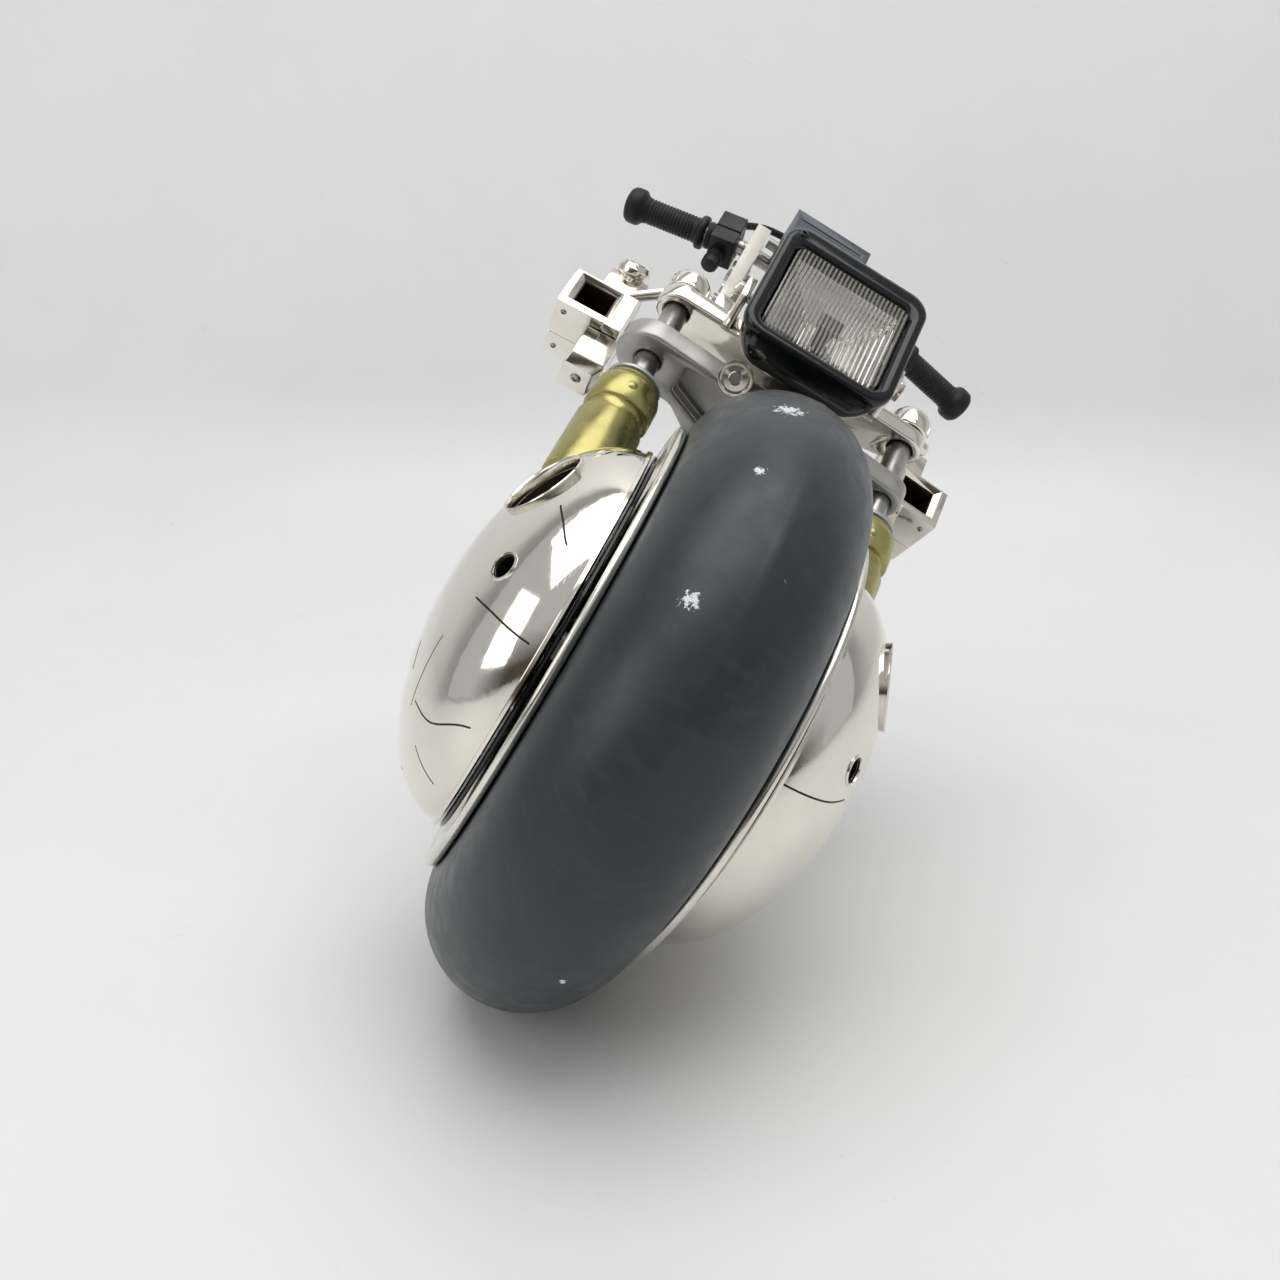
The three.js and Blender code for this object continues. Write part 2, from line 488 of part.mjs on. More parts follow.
function addFuelCap(group) {
  const cap = turned([[72.1, 0], [72.1, 2.6], [73.2, 2.6], [73.6, 2.2], [73.6, 0]], 'z', 16);
  const tab = box(3, 0.8, 0.8, 0, 0, 73.8);
  node('fuel_cap', join(cap, tab).translate(0, 34, 0), 'steel', group);
}

function addSeat(group) {
  const pan = [[-7, 0], [7, 0], [9, 4], [9, 24], [6, 37], [-6, 37], [-9, 24], [-9, 4]];
  const base = plate(pan, 0, 1.6).translate(0, 47.4, 0);
  const cowl = plate([[-6.6, 0], [6.6, 0], [5, 9.4], [-5, 9.4]], 0, 6).translate(0, 75, 1.4);
  const channel = rod(V(0, 40, -3.4), V(0, 90, -1.6), 3.1, 3.1, 12);
  const place = new THREE.Group();
  place.position.z = SEAT_Z;
  group.add(place);
  node('seat_base', cut(join(base, cowl), channel), 'black', place);
  const soft = { depth: 3, bevelThickness: 0.9, bevelSize: 0.9, bevelOffset: -0.9, bevelSegments: 2, curveSegments: 5 };
  const pad = new THREE.ExtrudeGeometry(roundedRect(17, 26.4, 4), soft).translate(0, 61.2, 2.9);
  node('seat_cushion', pad, 'leather', place);
  node('tail_light', lampBlock(8.4, 4.2, 1.2, 0, 1.6).translate(-LAMP.x, 84.7, 4.2 - LAMP.z), 'red', place);
}

function addEngine(group) {
  const { y, z, w, d, h } = ENGINE;
  const outline = [[0, 3], [3, 0], [d - 3, 0], [d, 3], [d, h - 2], [d - 2, h], [2, h], [0, h - 2]];
  const block = sideways(plate(outline, -w / 2, w / 2)).translate(0, y, z);
  const middle = V(0, y + 6.1, z + 11.3);
  const cover = turned([[w / 2 + GAP, 0], [w / 2 + GAP, 4.6], [w / 2 + 1.4, 4.6], [w / 2 + 2.2, 3.8], [w / 2 + 2.2, 1.8],
    [w / 2 + 2.6, 1.8], [w / 2 + 2.6, 0]], 'x', 16).translate(...middle.toArray());
  node('clutch_cover', cover, 'chrome', group);
  const alongPin = (s) => STAND_PIVOT.clone().addScaledVector(STAND_AXIS, s);
  const lug = rod(alongPin(-1.9), alongPin(5), 1.1, 1.1, 12);
  const lugArm = rod(alongPin(4.2), V(9, 49, 21), 1.7, 1.9, 10);
  const ears = [-2.1, 2.1].map((dy) => box(4.6, 1, 2.6, w / 2 + 1.6, PEG.y + dy, PEG.z));
  const pegLugs = join(...ears, rod(V(PEG.x, PEG.y - 2, PEG.z), V(PEG.x, PEG.y + 2, PEG.z), 0.7, 0.7, 10));
  const alternator = mirrorX(cover.clone().translate(-0.5, 0, 0));
  node('engine_case', join(block, alternator, lug, lugArm, pegLugs, mirrorX(pegLugs)), 'engine', group);
  const base = V(0, y + d + GAP, z + 12.4);
  const lean = V(0, 0.9, 0.436).normalize();
  const at = (s) => base.clone().addScaledVector(lean, s);
  const fins = [3.2, 5.2, 7.2, 9.2, 11.2].map((s) => rod(at(s), at(s + 1), 6.4, 6.4, 12));
  const barrel = join(rod(at(0), at(14), 4.8, 4.8, 12), rod(at(12.6), at(15), 5.6, 5.6, 12), ...fins);
  node('engine_cylinder', cut(barrel, box(20, 6, 30, 0, base.y - 3, base.z)), 'engine', group);
  const port = at(13.4);
  const can = turned([[-9.4, 0], [-9.4, 2], [-7.8, 3.8], [8.4, 3.8], [9.6, 3], [9.6, 2], [4, 2], [4, 0]], 'y', 16);
  can.rotateX(rad(42)).translate(-12.4, 80, 27);
  const pipe = bent([[-6.9, port.y, port.z], [-9.4, port.y - 0.4, port.z - 0.6], [-11.8, 72, 28], [-12.4, 68, 22.6],
    [-12.4, 69.4, 18.4], [-12.4, 73.2, 20.9]], 1.6, 8, 20);
  node('exhaust', join(pipe, can), 'chrome', group);
}

// ---- stands and footpegs ----
const ringAt = (centre, axis, bore, r, half) => {
  const turn = new THREE.Quaternion().setFromUnitVectors(V(0, 0, 1), axis);
  const ring = turned([[-half, bore], [-half, r], [half, r], [half, bore]], 'z', 16);
  return ring.applyQuaternion(turn).translate(...centre.toArray());
};

// A round pad lying flat on the floor, brought into the vehicle's frame.
function floorPad(spot, r, height) {
  const pad = rod(V(spot.x, spot.y, -AXLE_HEIGHT), V(spot.x, spot.y, height - AXLE_HEIGHT), r, r * 0.8, 16);
  return pad.applyMatrix4(TO_VEHICLE);
}

function addStands(frame, stand) {
  const footTop = V(STAND_FOOT.x, STAND_FOOT.y, 1.5 - AXLE_HEIGHT).applyMatrix4(TO_VEHICLE);
  const toFoot = footTop.clone().sub(STAND_PIVOT).normalize();
  const leg = rod(STAND_PIVOT.clone().addScaledVector(toFoot, 2), footTop, 1.3, 1.1, 12);
  const eye = ringAt(STAND_PIVOT, STAND_AXIS, 1.4, 2.5, 1.5);
  node('side_stand', join(eye, leg, floorPad(STAND_FOOT, 2.8, 1.6)), 'black', stand);
  const skidTop = V(SKID.x, SKID.y, 1.6 - AXLE_HEIGHT).applyMatrix4(TO_VEHICLE);
  const root = V(ENGINE.w / 2 - 2.4, ENGINE.y + ENGINE.d + 1.2, ENGINE.z + 5.5);
  const flange = box(4.4, 1.4, 5, root.x, root.y - 0.2, root.z);
  node('tail_skid', join(flange, rod(root, skidTop, 1.7, 1.5, 12), floorPad(SKID, 3.2, 1.6)), 'black', frame);
}

function addFootpegs(group) {
  const centre = V(PEG.x, PEG.y, PEG.z);
  const peg = rod(V(PEG.x + 1.2, PEG.y, PEG.z), V(PEG.x + 9.5, PEG.y, PEG.z), 1.3, 1.5, 12);
  const shape = join(ringAt(centre, V(0, 1, 0), 1, 1.7, 1.2), peg);
  SIDES.forEach(([side, sign]) => node(`footpeg_${side}`, onSide(sign, shape), 'rubber', group));
}

// The gear lever hangs on its own pivot low on the engine's left side, its toe peg reaching out.
function addGearLever(group) {
  const face = ENGINE.w / 2 + GAP;
  const toe = V(0, LEVER.y + 6, LEVER.z + 4.4);
  const boss = rod(V(face, LEVER.y, LEVER.z), V(face + 1.9, LEVER.y, LEVER.z), 1.5, 1.5, 12);
  const arm = rod(V(face + 1, LEVER.y, LEVER.z), V(face + 1, toe.y, toe.z), 0.75, 0.7, 8);
  const peg = rod(V(face + 0.4, toe.y, toe.z), V(face + 5, toe.y, toe.z), 1, 1, 10);
  node('gear_lever', join(boss, arm, peg), 'steel', group);
}

addWheel(vehicle);
addLowerFork(vehicle);
addClamps(vehicle);
addIntakes(vehicle);
addBars(vehicle, vehicle);
addLamp(vehicle, vehicle);
addFrame(vehicle);
addFuelCap(vehicle);
addSeat(vehicle);
addEngine(vehicle);
addStands(vehicle, vehicle);
addFootpegs(vehicle);
addGearLever(vehicle);

// The origin is on the floor, under the middle of the model's box.
model.updateMatrixWorld(true);
const extent = new THREE.Box3().setFromObject(model, true);
model.position.set(-(extent.min.x + extent.max.x) / 2, -(extent.min.y + extent.max.y) / 2, AXLE_HEIGHT);

export default model;
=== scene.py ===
# Looks for a leaning one-wheeled motorcycle model.
# Shapes are drawn in millimetres in the vehicle's own frame: origin at the wheel's centre,
# x to the vehicle's left, y back, z up along the fork.
import math

import bpy
import bmesh
import numpy as np
from mathutils import Matrix, Vector

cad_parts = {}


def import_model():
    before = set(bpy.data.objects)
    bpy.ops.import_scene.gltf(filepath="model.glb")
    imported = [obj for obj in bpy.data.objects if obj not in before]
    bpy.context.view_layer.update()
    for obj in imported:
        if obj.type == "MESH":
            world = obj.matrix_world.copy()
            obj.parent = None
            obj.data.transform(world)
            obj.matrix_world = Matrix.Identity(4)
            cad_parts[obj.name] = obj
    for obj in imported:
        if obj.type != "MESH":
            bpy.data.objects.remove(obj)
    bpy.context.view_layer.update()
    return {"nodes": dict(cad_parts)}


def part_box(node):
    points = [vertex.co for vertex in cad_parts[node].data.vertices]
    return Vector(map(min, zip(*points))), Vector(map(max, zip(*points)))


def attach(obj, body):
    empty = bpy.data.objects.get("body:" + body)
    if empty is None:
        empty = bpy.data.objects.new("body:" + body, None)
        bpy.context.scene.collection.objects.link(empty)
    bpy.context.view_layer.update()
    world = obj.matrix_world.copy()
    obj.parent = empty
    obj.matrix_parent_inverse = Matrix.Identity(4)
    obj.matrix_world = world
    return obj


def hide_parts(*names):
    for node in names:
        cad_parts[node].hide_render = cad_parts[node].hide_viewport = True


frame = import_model()
NODES = frame["nodes"]

MM = 0.001
LEAN = math.radians(30.7)
PITCH = math.radians(45)
LOW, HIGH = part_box("tyre")
HUB = (LOW + HIGH) / 2
POSE = Matrix.Translation(HUB) @ Matrix.Rotation(LEAN, 4, "Y") @ Matrix.Rotation(-PITCH, 4, "X")
SIDES = (("left", 1), ("right", -1))


# ---------------------------------------------------------------- shapes
class Shape:
    """Vertices in millimetres and faces, to be moved, mirrored and added together."""

    def __init__(self, verts, faces):
        self.v = np.array(verts, float).reshape(-1, 3)
        self.f = [tuple(int(i) for i in f) for f in faces]

    def __add__(self, other):
        n = len(self.v)
        return Shape(np.vstack([self.v, other.v]), self.f + [tuple(i + n for i in f) for f in other.f])

    def move(self, x=0.0, y=0.0, z=0.0):
        return Shape(self.v + np.array([x, y, z]), self.f)

    def apply(self, matrix):
        m = np.array(matrix, float)
        return Shape(self.v @ m[:3, :3].T + m[:3, 3], self.f)

    def turn(self, axis, degrees):
        return self.apply(Matrix.Rotation(math.radians(degrees), 4, axis))

    def scale(self, x=1.0, y=1.0, z=1.0):
        return Shape(self.v * np.array([x, y, z]), self.f)

    def mirror(self):
        return Shape(self.v * np.array([-1, 1, 1]), [tuple(reversed(f)) for f in self.f])

    def on_side(self, sign):
        return self if sign > 0 else self.mirror()


def total(shapes):
    shapes = list(shapes)
    out = shapes[0]
    for s in shapes[1:]:
        out = out + s
    return out


def lathe(profile, axis="z", n=64):
    """Turns (along, radius) points about an axis.
    The profile closes on itself, or ends on the axis at both ends."""
    poles = abs(profile[0][1]) < 1e-9 and abs(profile[-1][1]) < 1e-9
    ring = profile[1:-1] if poles else profile
    a = np.array([p[0] for p in ring])
    r = np.array([p[1] for p in ring])
    t = 2 * math.pi * np.arange(n) / n
    c, s = np.cos(t), np.sin(t)
    along = np.repeat(a, n)
    u = np.outer(r, c).ravel()
    w = np.outer(r, s).ravel()
    verts = {"x": (along, u, w), "y": (w, along, u), "z": (u, w, along)}[axis]
    verts = np.stack(verts, 1)
    faces = []
    m = len(ring)
    for i in range(m - 1 if poles else m):
        j = (i + 1) % m
        for k in range(n):
            q = (k + 1) % n
            faces.append((i * n + k, i * n + q, j * n + q, j * n + k))
    if poles:
        ends = {"x": lambda v: (v, 0, 0), "y": lambda v: (0, v, 0), "z": lambda v: (0, 0, v)}[axis]
        verts = np.vstack([verts, [ends(profile[0][0]), ends(profile[-1][0])]])
        first, last = m * n, m * n + 1
        for k in range(n):
            q = (k + 1) % n
            faces.append((first, q, k))
            faces.append((last, (m - 1) * n + k, (m - 1) * n + q))
    return Shape(verts, faces)


def prism(outline, low, high, axis="z"):
    """Extrudes an outline: (x, y) along z, (y, z) along x, or (x, z) along y."""
    place = {"z": lambda p, h: (p[0], p[1], h), "x": lambda p, h: (h, p[0], p[1]), "y": lambda p,
        h: (p[0], h, p[1])}[axis]
    n = len(outline)
    verts = [place(p, low) for p in outline] + [place(p, high) for p in outline]
    faces = [tuple(range(n)), tuple(range(2 * n - 1, n - 1, -1))]
    faces += [(i, (i + 1) % n, n + (i + 1) % n, n + i) for i in range(n)]
    return Shape(verts, faces)


def loft(rings, closed=True):
    """Joins rings of the same number of points, capping both ends if closed."""
    n = len(rings[0])
    verts = np.vstack([np.array(r, float) for r in rings])
    faces = []
    for i in range(len(rings) - 1):
        for k in range(n):
            q = (k + 1) % n
            faces.append((i * n + k, i * n + q, (i + 1) * n + q, (i + 1) * n + k))
    if closed:
        faces.append(tuple(range(n - 1, -1, -1)))
        faces.append(tuple((len(rings) - 1) * n + k for k in range(n)))
    return Shape(verts, faces)


def block(sx, sy, sz, at=(0, 0, 0)):
    x, y, z = sx / 2, sy / 2, sz / 2
    return prism([(-x, -y), (x, -y), (x, y), (-x, y)], -z, z).move(*at)


def rounded(w, h, r, n=6, at=(0, 0)):
    """Outline of a rectangle with rounded corners."""
    points = []
    for cx, cy, start in ((w / 2 - r, h / 2 - r, 0), (-w / 2 + r, h / 2 - r, 90),
            (-w / 2 + r, -h / 2 + r, 180), (w / 2 - r, -h / 2 + r, 270)):
        for i in range(n + 1):
            a = math.radians(start + 90 * i / n)
            points.append((cx + r * math.cos(a) + at[0], cy + r * math.sin(a) + at[1]))
    return points


def circle(r, n=32, at=(0, 0)):
    return [(at[0] + r * math.cos(2 * math.pi * i / n),
        at[1] + r * math.sin(2 * math.pi * i / n)) for i in range(n)]


def signed_power(value, power):
    return math.copysign(abs(value) ** power, value)


def upright_ring(w, h, r, y, at, n=8):
    """A rounded rectangle standing in the x-z plane at y."""
    return [(x, y, z) for x, z in rounded(w, h, r, n, at)]


def aim(a, b):
    """Turns +z to point from a to b, with its origin at a."""
    d = Vector(b) - Vector(a)
    return Matrix.Translation(Vector(a)) @ d.to_track_quat("Z", "Y").to_matrix().to_4x4()


def rod(a, b, ra, rb=None, n=32):
    rb = ra if rb is None else rb
    length = (Vector(b) - Vector(a)).length
    return loft([[(x, y, 0) for x, y in circle(ra, n)], [(x, y, length) for x,
        y in circle(rb, n)]]).apply(aim(a, b))


def spun(a, b, profile, n=32):
    """A lathed piece whose profile runs from a towards b."""
    return lathe(profile, "z", n).apply(aim(a, b))


def smooth_path(points, per=8):
    """A Catmull-Rom path through the points."""
    p = [np.array(q, float) for q in points]
    p = [2 * p[0] - p[1]] + p + [2 * p[-1] - p[-2]]
    out = []
    for i in range(1, len(p) - 2):
        for k in range(per):
            t = k / per
            a, b, c, d = p[i - 1], p[i], p[i + 1], p[i + 2]
            out.append(0.5 * (2 * b + (c - a) * t + (2 * a - 5 * b + 4 * c - d) * t * t
                              + (3 * b - a - 3 * c + d) * t ** 3))
    out.append(p[-2])
    return np.array(out)


def sweep(points, radius, n=16, per=8, smooth=True):
    """A round tube along a path. radius is a number, or one for each point given."""
    path = smooth_path(points, per) if smooth else np.array(points, float)
    if np.ndim(radius):
        stations = np.linspace(0, len(points) - 1, len(path))
        radii = np.interp(stations, np.arange(len(points)), radius)
    else:
        radii = np.full(len(path), float(radius))
    tangents = np.gradient(path, axis=0)
    tangents /= np.linalg.norm(tangents, axis=1)[:, None]
    side = np.cross(tangents[0], [0.3, 0.5, 0.81])
    side /= np.linalg.norm(side)
    rings = []
    for q, t, r in zip(path, tangents, radii):
        side = side - t * (side @ t)
        side /= np.linalg.norm(side)
        other = np.cross(t, side)
        rings.append([q + r * (math.cos(2 * math.pi * k / n) * side + math.sin(2 * math.pi * k / n) * other)
                      for k in range(n)])
    return loft(rings)


def hexagon(r, at=(0, 0)):
    return [(at[0] + r * math.cos(math.radians(60 * i)),
        at[1] + r * math.sin(math.radians(60 * i))) for i in range(6)]


def bolt(at, towards, r=0.7, height=0.5):
    """A button-head screw with a socket, standing at a point and facing along a direction."""
    top = Vector(at) + Vector(towards)
    dome = [(-0.2, 0), (-0.2, r), (height * 0.35, r), (height * 0.8, r * 0.8), (height, r * 0.5),
        (height * 0.45, r * 0.42), (height * 0.45, 0)]
    return spun(at, top, dome, 20)


# ---------------------------------------------------------------- making pieces
def to_mesh(name, shape):
    mesh = bpy.data.meshes.new(name)
    mesh.from_pydata([tuple(v * MM) for v in shape.v], [], shape.f)
    bm = bmesh.new()
    bm.from_mesh(mesh)
    bmesh.ops.remove_doubles(bm, verts=bm.verts, dist=1e-7)
    bmesh.ops.dissolve_degenerate(bm, edges=bm.edges, dist=1e-8)
    bmesh.ops.recalc_face_normals(bm, faces=bm.faces)
    bm.to_mesh(mesh)
    bm.free()
    return mesh


def baked(obj):
    """Applies the object's modifiers to its mesh."""
    graph = bpy.context.evaluated_depsgraph_get()
    mesh = bpy.data.meshes.new_from_object(obj.evaluated_get(graph))
    obj.modifiers.clear()
    obj.data = mesh


def piece(name, shape, material, body, stands_for=(), bevel=0.0, segments=2, sharp=35, cuts=None):
    """Adds one visible piece: cut first, then bevelled, then shaded smooth up to the sharp angle."""
    obj = bpy.data.objects.new(name, to_mesh(name, shape))
    bpy.context.scene.collection.objects.link(obj)
    if cuts is not None:
        tool = bpy.data.objects.new(name + "_cut", to_mesh(name + "_cut", cuts))
        bpy.context.scene.collection.objects.link(tool)
        m = obj.modifiers.new("cut", "BOOLEAN")
        m.operation = "DIFFERENCE"
        m.solver = "EXACT"
        m.use_self = True
        m.object = tool
        baked(obj)
        bpy.data.objects.remove(tool)
    if bevel:
        m = obj.modifiers.new("bevel", "BEVEL")
        m.width = bevel * MM
        m.segments = segments
        m.limit_method = "ANGLE"
        m.angle_limit = math.radians(28)
        m.use_clamp_overlap = True
        m.miter_outer = "MITER_ARC"
        baked(obj)
    obj.data.polygons.foreach_set("use_smooth", [True] * len(obj.data.polygons))
    obj.data.set_sharp_from_angle(angle=math.radians(sharp))
    obj.data.materials.clear()
    obj.data.materials.append(material)
    obj.data.transform(POSE)
    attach(obj, body)
    if stands_for:
        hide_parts(*stands_for)
    return obj


# ---------------------------------------------------------------- materials
def add(tree, kind, inputs=None, **props):
    node = tree.nodes.new(kind)
    for key, value in props.items():
        setattr(node, key, value)
    for key, value in (inputs or {}).items():
        if isinstance(value, bpy.types.NodeSocket):
            tree.links.new(value, node.inputs[key])
        else:
            node.inputs[key].default_value = value
    return node


def millimetres(tree, stretch=(1, 1, 1)):
    """Object coordinates in the vehicle's own frame, in millimetres."""
    place = add(tree, "ShaderNodeTexCoord")
    from_hub = add(tree, "ShaderNodeVectorMath", {0: place.outputs["Object"], 1: tuple(HUB)},
        operation="SUBTRACT").outputs[0]
    turned = {"Vector": from_hub, "Scale": (1 / MM,) * 3,
        "Rotation": tuple(POSE.to_3x3().inverted().to_euler())}
    upright = add(tree, "ShaderNodeMapping", turned).outputs[0]
    return add(tree, "ShaderNodeVectorMath", {0: upright, 1: stretch}, operation="MULTIPLY").outputs[0]


def noise(tree, scale, detail=3.0, stretch=(1, 1, 1), rough=0.55):
    vector = millimetres(tree, stretch)
    inputs = {"Vector": vector, "Scale": scale, "Detail": detail, "Roughness": rough}
    return add(tree, "ShaderNodeTexNoise", inputs).outputs["Fac"]


def remap(tree, value, a, b, c=0.0, d=1.0):
    inputs = {"Value": value, "From Min": a, "From Max": b, "To Min": c, "To Max": d}
    return add(tree, "ShaderNodeMapRange", inputs, clamp=True).outputs[0]


def maths(tree, operation, a, b=0.0, clamp=False):
    return add(tree, "ShaderNodeMath", {0: a, 1: b}, operation=operation, use_clamp=clamp).outputs[0]


def mixed(tree, factor, a, b):
    node = add(tree, "ShaderNodeMix", data_type="RGBA", blend_type="MIX")
    for key, value in ((0, factor), (6, a), (7, b)):
        if isinstance(value, bpy.types.NodeSocket):
            tree.links.new(value, node.inputs[key])
        else:
            node.inputs[key].default_value = value if key == 0 else (*value, 1.0)
    return node.outputs[2]


def bumped(tree, heights):
    """Stacks bump maps, each (height socket, depth in millimetres)."""
    normal = None
    for height, depth in heights:
        inputs = {"Height": height, "Distance": depth * MM, "Strength": 1.0}
        if normal is not None:
            inputs["Normal"] = normal
        normal = add(tree, "ShaderNodeBump", inputs).outputs[0]
    return normal


def shade(colour, factor):
    return tuple(min(1.0, c * factor) for c in colour)


def finish(name, colour, rough, metallic=0.0, coat=0.0, specular=0.5, mottle=(0.12, 0.15), rough_range=0.08,
           grain=(7.0, 0.012), ripple=0.0, scratch=0.0, wear=0.0, sheen=0.0, extra=None):
    """A surface whose colour, gloss and grain vary over millimetres.
    mottle is (spots per mm, share of colour); grain is (grains per mm, depth in mm).
    ripple and scratch are depths in mm."""
    mat = bpy.data.materials.new(name)
    mat.use_nodes = True
    tree = mat.node_tree
    shader = tree.nodes["Principled BSDF"]
    shader.inputs["Metallic"].default_value = metallic
    shader.inputs["Coat Weight"].default_value = coat
    shader.inputs["Coat Roughness"].default_value = 0.06
    shader.inputs["Specular IOR Level"].default_value = specular
    shader.inputs["Sheen Weight"].default_value = sheen
    patch = remap(tree, noise(tree, mottle[0], 4.0), 0.3, 0.7)
    tint = mixed(tree, patch, shade(colour, 1 - mottle[1]), shade(colour, 1 + mottle[1]))
    heights = []
    if grain[1]:
        heights.append((noise(tree, grain[0], 2.0), grain[1]))
    if ripple:
        heights.append((noise(tree, 0.22, 2.0), ripple))
    if scratch:
        lines = remap(tree, noise(tree, 1.3, 3.0, (9, 0.35, 0.6)), 0.6, 0.68)
        heights.append((lines, scratch))
        cross = remap(tree, noise(tree, 1.1, 3.0, (0.5, 6, 0.4)), 0.62, 0.7)
        heights.append((cross, scratch))
    gloss = remap(tree, noise(tree, 0.35, 5.0), 0.3, 0.7, max(0.0, rough - rough_range), rough + rough_range)
    if wear:
        spots = remap(tree, noise(tree, 1.6, 6.0, rough=0.7), 0.62, 0.7)
        tint = mixed(tree, maths(tree, "MULTIPLY", spots, wear), tint, shade(colour, 0.45))
    if extra:
        tint, gloss, heights = extra(tree, tint, gloss, heights)
    tree.links.new(tint, shader.inputs["Base Color"])
    tree.links.new(gloss, shader.inputs["Roughness"])
    normal = bumped(tree, heights)
    if normal is not None:
        tree.links.new(normal, shader.inputs["Normal"])
    return mat


CHIPS = (((-4.2, -35.7, 20.7), 2.6), ((-5.2, -39.5, -10.1), 1.7), ((-4.8, -40.3, 7.3), 1.1),
    ((4.65, -10.2, -39.7), 0.8),
         ((1.9, -41.3, -4.0), 0.5), ((-2.2, 30.1, 28.5), 1.3), ((5.5, 38.6, -9.5), 0.9))


def tyre_marks(tree, tint, gloss, heights):
    """Small pale chips, rubbed streaks and a dusty bloom."""
    place = millimetres(tree)
    broken = noise(tree, 1.9, 4.0, rough=0.7)
    chips = None
    for at, radius in CHIPS:
        far = add(tree, "ShaderNodeVectorMath", {0: place, 1: at}, operation="DISTANCE").outputs["Value"]
        near = remap(tree, far, 0.0, radius * 1.3, 0.47, 0.0)
        chips = near if chips is None else maths(tree, "MAXIMUM", chips, near)
    chips = remap(tree, maths(tree, "ADD", chips, broken), 0.79, 0.83)
    streaks = remap(tree, noise(tree, 0.42, 4.0, (0.35, 2.2, 1.0)), 0.56, 0.74)
    tint = mixed(tree, maths(tree, "MULTIPLY", streaks, 0.35), tint, (0.050, 0.060, 0.066))
    dust = remap(tree, noise(tree, 0.09, 5.0), 0.42, 0.75)
    tint = mixed(tree, maths(tree, "MULTIPLY", dust, 0.3), tint, (0.055, 0.066, 0.073))
    tint = mixed(tree, chips, tint, (0.72, 0.74, 0.74))
    gloss = maths(tree, "ADD", gloss, maths(tree, "MULTIPLY", streaks, 0.12), True)
    heights.append((chips, -0.05))
    return tint, gloss, heights


# One flute every FLUTE_PITCH millimetres; the wave texture's scale that gives the same pitch.
FLUTE_PITCH, FLUTE_SCALE = 0.66, 0.476


def fluted(tree, tint, gloss, heights):
    wave = add(tree, "ShaderNodeTexWave", {"Vector": millimetres(tree), "Scale": FLUTE_SCALE,
        "Distortion": 0.0}, wave_type="BANDS", bands_direction="X")
    heights.append((wave.outputs["Fac"], 0.14))
    return tint, gloss, heights


def leathery(tree, tint, gloss, heights):
    cells = add(tree, "ShaderNodeTexVoronoi", {"Vector": millimetres(tree), "Scale": 2.2},
        feature="DISTANCE_TO_EDGE").outputs["Distance"]
    crease_and_shade = remap(tree, cells, 0.0, 0.12)
    heights.append((crease_and_shade, 0.05))
    # painted shade: the grain's creases are darkened to near black, as shade lying in them
    tint = mixed(tree, crease_and_shade, (0.012, 0.010, 0.009), tint)
    return tint, gloss, heights


TYRE_RUBBER = finish("TyreRubber", (0.021, 0.027, 0.031), 0.37, specular=0.45, mottle=(0.06, 0.16),
    rough_range=0.07,
                     grain=(5.0, 0.010), extra=tyre_marks)
CHROME = finish("Chrome", (0.80, 0.765, 0.69), 0.075, 1.0, mottle=(0.09, 0.05), rough_range=0.045,
    grain=(9.0, 0.0008),
                ripple=0.05, scratch=0.0012, wear=0.10)
CHROME_CLEAN = finish("ChromeCast", (0.80, 0.76, 0.68), 0.13, 1.0, mottle=(0.2, 0.06), rough_range=0.06,
    grain=(6.0, 0.003),
                      ripple=0.03, wear=0.15)
RIM_METAL = finish("RimMetal", (0.74, 0.72, 0.66), 0.20, 1.0, mottle=(0.15, 0.10), rough_range=0.10,
    grain=(4.0, 0.004), wear=0.25)
SATIN = finish("SatinAlloy", (0.42, 0.41, 0.385), 0.36, 0.75, mottle=(0.25, 0.10), rough_range=0.08,
    grain=(5.0, 0.012), wear=0.2)
PALE_SATIN = finish("PaleSatin", (0.50, 0.51, 0.52), 0.35, 0.6, mottle=(0.2, 0.08), rough_range=0.08,
    grain=(5.0, 0.01))
GOLD = finish("GoldAnodised", (0.40, 0.355, 0.135), 0.27, 0.85, mottle=(0.18, 0.10), rough_range=0.08,
    grain=(6.0, 0.006), scratch=0.002)
STEEL = finish("TurnedSteel", (0.42, 0.41, 0.39), 0.28, 1.0, mottle=(0.3, 0.12), rough_range=0.1,
    grain=(6.0, 0.004), wear=0.3)
FRAME_PAINT = finish("FramePaint", (0.013, 0.013, 0.015), 0.20, coat=0.8, mottle=(0.2, 0.2), rough_range=0.08,
    grain=(4.0, 0.004))
GLOSS_BLACK = finish("GlossBlack", (0.0035, 0.004, 0.0045), 0.11, specular=0.35, coat=0.15,
    mottle=(0.25, 0.2), rough_range=0.06, grain=(3.0, 0.003), scratch=0.0008)
MATTE_BLACK = finish("MatteBlack", (0.006, 0.0062, 0.007), 0.36, specular=0.35, mottle=(0.4, 0.25),
    rough_range=0.1, grain=(6.0, 0.012))
BLACK_RUBBER = finish("BlackRubber", (0.007, 0.0075, 0.0085), 0.48, specular=0.35, mottle=(0.5, 0.25),
    rough_range=0.1, grain=(5.0, 0.02))
ENGINE_ALLOY = finish("EngineAlloy", (0.30, 0.30, 0.295), 0.42, 0.85, mottle=(0.3, 0.15), rough_range=0.1,
    grain=(3.5, 0.03), wear=0.5)
REFLECTOR = finish("ReflectorChrome", (0.82, 0.80, 0.74), 0.08, 1.0, mottle=(0.2, 0.05), rough_range=0.03,
    grain=(5.0, 0.002), extra=fluted)
